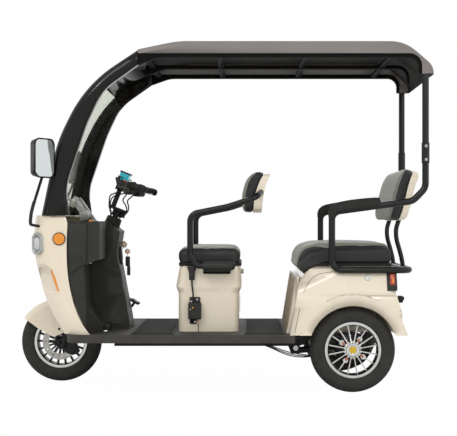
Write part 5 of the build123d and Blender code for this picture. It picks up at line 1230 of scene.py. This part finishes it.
# each tag's part: its name, y, rings as (share of the tag's radius, height), finish, slot and sides
tagParts = (
    (
        "rim", -0.0015, ((1, 0.0), (1, 0.0030), (0.94, 0.0036), (0.72, 0.0036), (0.70, 0.0030), (0.70, 0.0), (1, 0.0)),
        zincPlate, "disc_steel", 36,
    ),
    (
        "ring", -0.0013, ((0.71, 0.0), (0.71, 0.0027), (0.42, 0.0029), (0.42, 0.0), (0.71, 0.0)), orangePlastic,
        "lamp_amber", 36,
    ),
    ("eye", -0.0012, ((0.42, 0.0), (0.42, 0.0024), (0.20, 0.0031), (0.03, 0.0033)), whiteEnamel, "lamp_silver", 30),
)
for number, (x, z, radius) in enumerate(keys["tags"]):
    for part, y, steps, finish, slot, sides in tagParts:
        rings = tuple((radius * share, height) for share, height in steps)
        lathe(
            f"key_tag_{part}_{number}", (x, y, z), (0, 1, 0), rings, "chassis", finish, slot, sides=sides,
            filled=part == "eye",
        )
for part, path in keys["links"].items():
    tube(f"key_link_{part}", path, keys["linkRadius"], *zincTrim)
for part, (place, size, edge) in keys["fobs"].items():
    block(f"key_fob_{part}", place, size, *blackTrim, round=edge, segments=4)

# dash: switch lamp, vents and the wiper motor's bolts
dash = {
    "lamp": ((0.646, 0.300, 0.840), (0.020, 0.014, 0.012)), "vents": 7, "firstVent": (0.610, 0.180, 0.8368),
    "ventStep": 0.022,
    "vent": (0.050, 0.008, 0.0040),
    "motorBolts": ((0.672, 0.030, 0.8425), (0.672, -0.030, 0.8425), (0.730, -0.030, 0.8425)),
}
block("dash_lamp", *dash["lamp"], "chassis", orangePlastic, "lamp_amber", round=0.004, segments=3)
for number in range(dash["vents"]):
    place = Vector(dash["firstVent"]) + Vector((0, number * dash["ventStep"], 0))
    block(f"dash_vent_{number}", place, dash["vent"], "chassis", satinSteel, "black_plastic", round=0.0014)
# motor's case and arm take the pale casting's finish
skins["wiper_motor"].data.materials[0] = motorGrey
for number, place in enumerate(dash["motorBolts"]):
    bolt(f"motor_bolt_{number}", place, (0, 0, 1), 0.0050, "chassis")
# rubber pad on the pedal, ribbed across
pedal = {
    "pad": ((0.484, -0.170, 0.408), (0.080, 0.072, 0.009)), "lean": -24.5, "ribs": 5,
    "firstRib": (0.456, -0.170, 0.4005),
    "ribStep": (0.014, 0, 0.00638), "rib": (0.004, 0.064, 0.0040),
}
pedalTurn = (0, math.radians(pedal["lean"]), 0)
block("pedal_pad", *pedal["pad"], *rubberTrim, turn=pedalTurn, round=0.003)
for number in range(pedal["ribs"]):
    place = Vector(pedal["firstRib"]) + number * Vector(pedal["ribStep"])
    block(f"pedal_rib_{number}", place, pedal["rib"], *rubberTrim, turn=pedalTurn, round=0.001)
print("dash and column details made")

# ribs on the floor mats, and a bright strip along the floor's top corner
mats = {
    "spans": ((-0.320, -0.124), (0.230, 0.436)), "firstY": -0.384, "z": 0.2887, "margin": 0.012, "wide": 0.010,
    "high": 0.0022, "ribs": 33, "step": 0.024,
}
floorEdge = {
    "radius": 0.0022,
    "line": ((0.690, 0.4470, 0.2845), (0.500, 0.4478, 0.2848), (0.000, 0.4478, 0.2848), (-0.330, 0.4478, 0.2848)),
}
for number, (low, high) in enumerate(mats["spans"]):
    place = ((low + high) / 2, mats["firstY"], mats["z"])
    size = (high - low - mats["margin"], mats["wide"], mats["high"])
    bpy.ops.mesh.primitive_cube_add(size=1, location=place, scale=size)
    ribs = bpy.context.object
    bpy.ops.object.transform_apply(location=False, rotation=False, scale=True)
    editAll()
    bpy.ops.mesh.bevel(offset=0.0008, segments=2, affect="EDGES")
    bpy.ops.object.mode_set(mode="OBJECT")
    applyModifier(
        ribs, "row", "ARRAY", count=mats["ribs"], use_relative_offset=False, use_constant_offset=True,
        constant_offset_displace=(0, mats["step"], 0),
    )
    handOver(ribs, f"mat_ribs_{number}", *rubberTrim, 40)
for side, label in bothSides:
    strip = tuple((x, side * y, z) for x, y, z in floorEdge["line"])
    tube(f"floor_edge_{label}", strip, floorEdge["radius"], "chassis", floorPlastic, "floor_plastic")
print("floor finished")

# driver's box: sleeves over the rail's ends, and the control box's screws, lamps and wires
rail = {
    "sleeve": (0.0880, 0.320, 0.617),
    "rings": (
        (0.0130, 0.0), (0.0200, 0.0005), (0.0212, 0.0025), (0.0212, 0.1440), (0.0190, 0.1540), (0.0130, 0.1605),
        (0.0040, 0.1625),
    ),
}
controlBox = {
    "screws": ((0.1160, 0.289, 0.447), (0.1460, 0.289, 0.438), (0.1270, 0.289, 0.336)), "screw": 0.0036,
    "signal": ((0.1385, 0.2902, 0.406), ((0.0042, 0.0), (0.0042, 0.0026), (0.0030, 0.0042), (0.0005, 0.0048))),
    "dot": ((0.1500, 0.2902, 0.398), ((0.0024, 0.0), (0.0024, 0.0010), (0.0004, 0.0014))), "wire": 0.0013,
    "red": ((0.1120, 0.281, 0.352), (0.1135, 0.283, 0.344), (0.1115, 0.282, 0.335), (0.1110, 0.2800, 0.326)),
    "yellow": ((0.1090, 0.281, 0.352), (0.1085, 0.283, 0.343), (0.1105, 0.282, 0.333), (0.1110, 0.2815, 0.325)),
}
for side, label in bothSides:
    place = Vector(rail["sleeve"]) * Vector((1, side, 1))
    lathe(f"socket_sleeve_{label}", place, (-1, 0, 0), rail["rings"], *blackSleeve, sides=40)
for number, place in enumerate(controlBox["screws"]):
    bolt(f"box_screw_{number}", place, (0, 1, 0), controlBox["screw"], "chassis")
place, rings = controlBox["signal"]
lathe("box_signal", place, (0, 1, 0), rings, "chassis", yellowCap, "lamp_amber", sides=24)
place, rings = controlBox["dot"]
lathe("box_dot", place, (0, 1, 0), rings, "chassis", whiteEnamel, "lamp_silver", sides=16)
tube("red_wire", controlBox["red"], controlBox["wire"], "chassis", redPlastic, "lamp_red")
tube("yellow_wire", controlBox["yellow"], controlBox["wire"], "chassis", yellowCap, "lamp_amber")

# steering details, placed up the raked axis, ahead of it and to its left
steerAxis = Vector((-0.36975, 0, 0.92913))
steerFoot = Vector((0.81998, 0, axleHeight))
steerAhead = Vector((steerAxis.z, 0, -steerAxis.x))


def onSteering(height, ahead=0.0, left=0.0):
    return steerFoot + steerAxis * height + steerAhead * ahead + Vector((0, left, 0))


display = {"face": 0.900, "cap": (0.9375, 0.030), "size": (0.056, 0.118, 0.008), "lean": -21.7, "edge": 0.003}


def isLit(centre, normal):
    return (centre - steerFoot).dot(steerAxis) > display["face"] and abs(normal.dot(steerAxis)) < 0.5


paintFaces(mergedCopy("display_unit", 40, grainedBlack), screenGlow, isLit)
block(
    "display_cap", onSteering(*display["cap"]), display["size"], "steering", grainedBlack, "black_plastic",
    turn=(0, math.radians(display["lean"]), 0), round=display["edge"], segments=3,
)
grip = {
    "start": (0.4610, 0.2440, 1.0210), "end": (0.3830, 0.3560, 0.9990), "rings": 9, "firstRing": 0.10,
    "ringStep": 0.095,
    "ring": ((0.0166, -0.0016), (0.0181, -0.0008), (0.0181, 0.0008), (0.0166, 0.0016)),
    "barEnd": ((0.0172, -0.003), (0.0184, -0.001), (0.0184, 0.003), (0.0150, 0.006), (0.0060, 0.007)),
}
controls = {
    "reservoir": (0.508, 0.200, 1.0640), "cap": ((0.0150, -0.003), (0.0150, 0.002), (0.0138, 0.0034), (0.0040, 0.0036)),
    "stop": ((0.486, 0.214, 1.0440), (0.014, 0.016, 0.010)),
    "switches": ((0.452, 0.2555, 1.006), (0.432, 0.2595, 0.998), (0.444, 0.2635, 0.982)),
    "switch": (0.014, 0.008, 0.009),
}
for side, label in bothSides:
    # ribbed grip sleeves and their end flanges
    mirrored = Vector((1, side, 1))
    barStart, barEnd = Vector(grip["start"]) * mirrored, Vector(grip["end"]) * mirrored
    along = (barEnd - barStart).normalized()
    for number in range(grip["rings"]):
        place = barStart + (barEnd - barStart) * (grip["firstRing"] + number * grip["ringStep"])
        lathe(
            f"grip_ring_{label}_{number}", place, along, grip["ring"], "steering", blackRubber, "soft_black", sides=28,
            filled=False,
        )
    lathe(
        f"bar_end_{label}", barEnd + along * 0.001, along, grip["barEnd"], "steering", satinSteel, "black_metal",
        sides=32,
    )
    reservoir = Vector(controls["reservoir"]) * mirrored
    lathe(
        f"reservoir_cap_{label}", reservoir, (-0.35, 0, 0.94), controls["cap"], "steering", grainedBlack,
        "black_plastic", sides=32,
    )
block("stop_button", *controls["stop"], "steering", redPlastic, "lamp_red", turn=(0, -0.3, 0), round=0.003, segments=3)
for number, place in enumerate(controls["switches"]):
    block(
        f"switch_button_{number}", place, controls["switch"], "steering", satinSteel, "black_plastic",
        turn=(0, 0.2, -0.4), round=0.0025, segments=3,
    )
print("steering details made")

# bellows rings round the column, each a little narrower than the one below
bellows = {"rings": 4, "foot": 0.640, "step": 0.0135}
for number in range(bellows["rings"]):
    valley, ridge = 0.0345 - number * 0.0005, 0.0385 - number * 0.0008
    lathe(
        f"boot_ring_{number}", onSteering(bellows["foot"] + number * bellows["step"]), steerAxis,
        ((valley, -0.0055), (ridge, -0.0018), (ridge, 0.0012), (valley - 0.001, 0.0055)),
        *rubberTrim, sides=40, filled=False, angle=60,
    )

# windscreen and roof: clips inside the pillar and visor, caps by the wiper, nubs on the roof
screen = {
    "clips": ((0.590, 1.300), (0.648, 1.160), (0.512, 1.450), (0.420, 1.560)), "clip": (0.026, 0.009, 0.018),
    "cap": (0.868, 0.120, 0.893), "capRadius": 0.0060,
}
nubs = {"x": (0.20, -0.27, -0.82), "y": 0.230, "above": 1.80, "size": (0.030, 0.020, 0.006)}
for side, label in bothSides:
    for number, (x, z) in enumerate(screen["clips"]):
        spot = onSurface(arch, (x, 0.0, z), (0, side, 0))
        if spot:
            place = spot - Vector((0, side * 0.004, 0))
            block(f"pillar_clip_{label}_{number}", place, screen["clip"], *blackTrim, round=0.003)
    place = Vector(screen["cap"]) * Vector((1, side, 1))
    bolt(f"wiper_cap_{label}", place, (0.95, 0, 0.3), screen["capRadius"], *steelTrim)
    for number, x in enumerate(nubs["x"]):
        spot = onSurface(roof, (x, side * nubs["y"], nubs["above"]), (0, 0, -1))
        block(
            f"roof_nub_{label}_{number}", spot, nubs["size"], "chassis", roofPlastic, "roof_shell", round=0.002,
            segments=3,
        )
print("roof details made")

# small hardware: post and fender bolts, brake rods, pivot bolts, and an amber lens let into each scoop
hardware = {
    "postBolts": ((-1.006, 0.4298, 1.140), (-1.006, 0.4298, 1.206)), "fenderBolt": (0.839, 0.0955, 0.281),
    "pivot": (-0.3720, 0.3830, 0.2160),
    "pivotRings": (
        (0.0135, 0.0), (0.0135, 0.0040), (0.0120, 0.0062), (0.0075, 0.0064), (0.0070, 0.0040), (0.0010, 0.0038)
    ),
    "rod": 0.0026, "rods": ((0.352, 0.0), (0.338, 0.010), (0.318, 0.020)),
}
scoop = {
    "line": ((0.8290, 0.5970), (0.8175, 0.5820), (0.8075, 0.5550), (0.7975, 0.5230), (0.7890, 0.4980)),
    "widths": (0.0075, 0.0105, 0.0105, 0.0075), "thick": 0.0030, "proud": 0.0006,
}
for side, label in bothSides:
    mirrored = Vector((1, side, 1))
    for number, place in enumerate(hardware["postBolts"]):
        bolt(
            f"post_bolt_{label}_{number}", Vector(place) * mirrored, (0, side, 0), 0.0055, "chassis", slot="black_tube"
        )
    bolt(
        f"fender_bolt_{label}", Vector(hardware["fenderBolt"]) * mirrored, (0, side, 0), 0.0048, "steering", satinSteel
    )
    # rods from the cross member to the rear drum, each a little further in and lower than the last
    for number, (across, drop) in enumerate(hardware["rods"]):
        y = side * across
        path = (
            (-0.185 + number * 0.018, y, 0.2460), (-0.240, y, 0.2290 - drop * 0.6), (-0.320, y, 0.1960 - drop),
            (-0.400, y, 0.1800 - drop), (-0.452, y, 0.1760 - drop * 0.5),
        )
        tube(f"brake_rod_{label}_{number}", path, hardware["rod"], *steelTrim)
    pivot = Vector(hardware["pivot"]) * mirrored
    lathe(
        f"pivot_bolt_{label}", pivot, (0, side, 0), hardware["pivotRings"], "chassis", zincPlate, "cast_metal", sides=36
    )
    for number, ((x, z), (nextX, nextZ)) in enumerate(zip(scoop["line"], scoop["line"][1:])):
        spot = onSurface(skins["front_cowl"], ((x + nextX) / 2, side * outside, (z + nextZ) / 2), (0, -side, 0))
        if spot:
            size = (scoop["widths"][number], scoop["thick"], math.hypot(x - nextX, z - nextZ) + 0.002)
            block(
                f"amber_{label}_{number}", spot + Vector((0, side * scoop["proud"], 0)), size, "chassis", amberLamp,
                "lamp_amber",
                turn=(0, math.atan2(x - nextX, z - nextZ), 0), round=0.0012,
            )
print("hardware made")
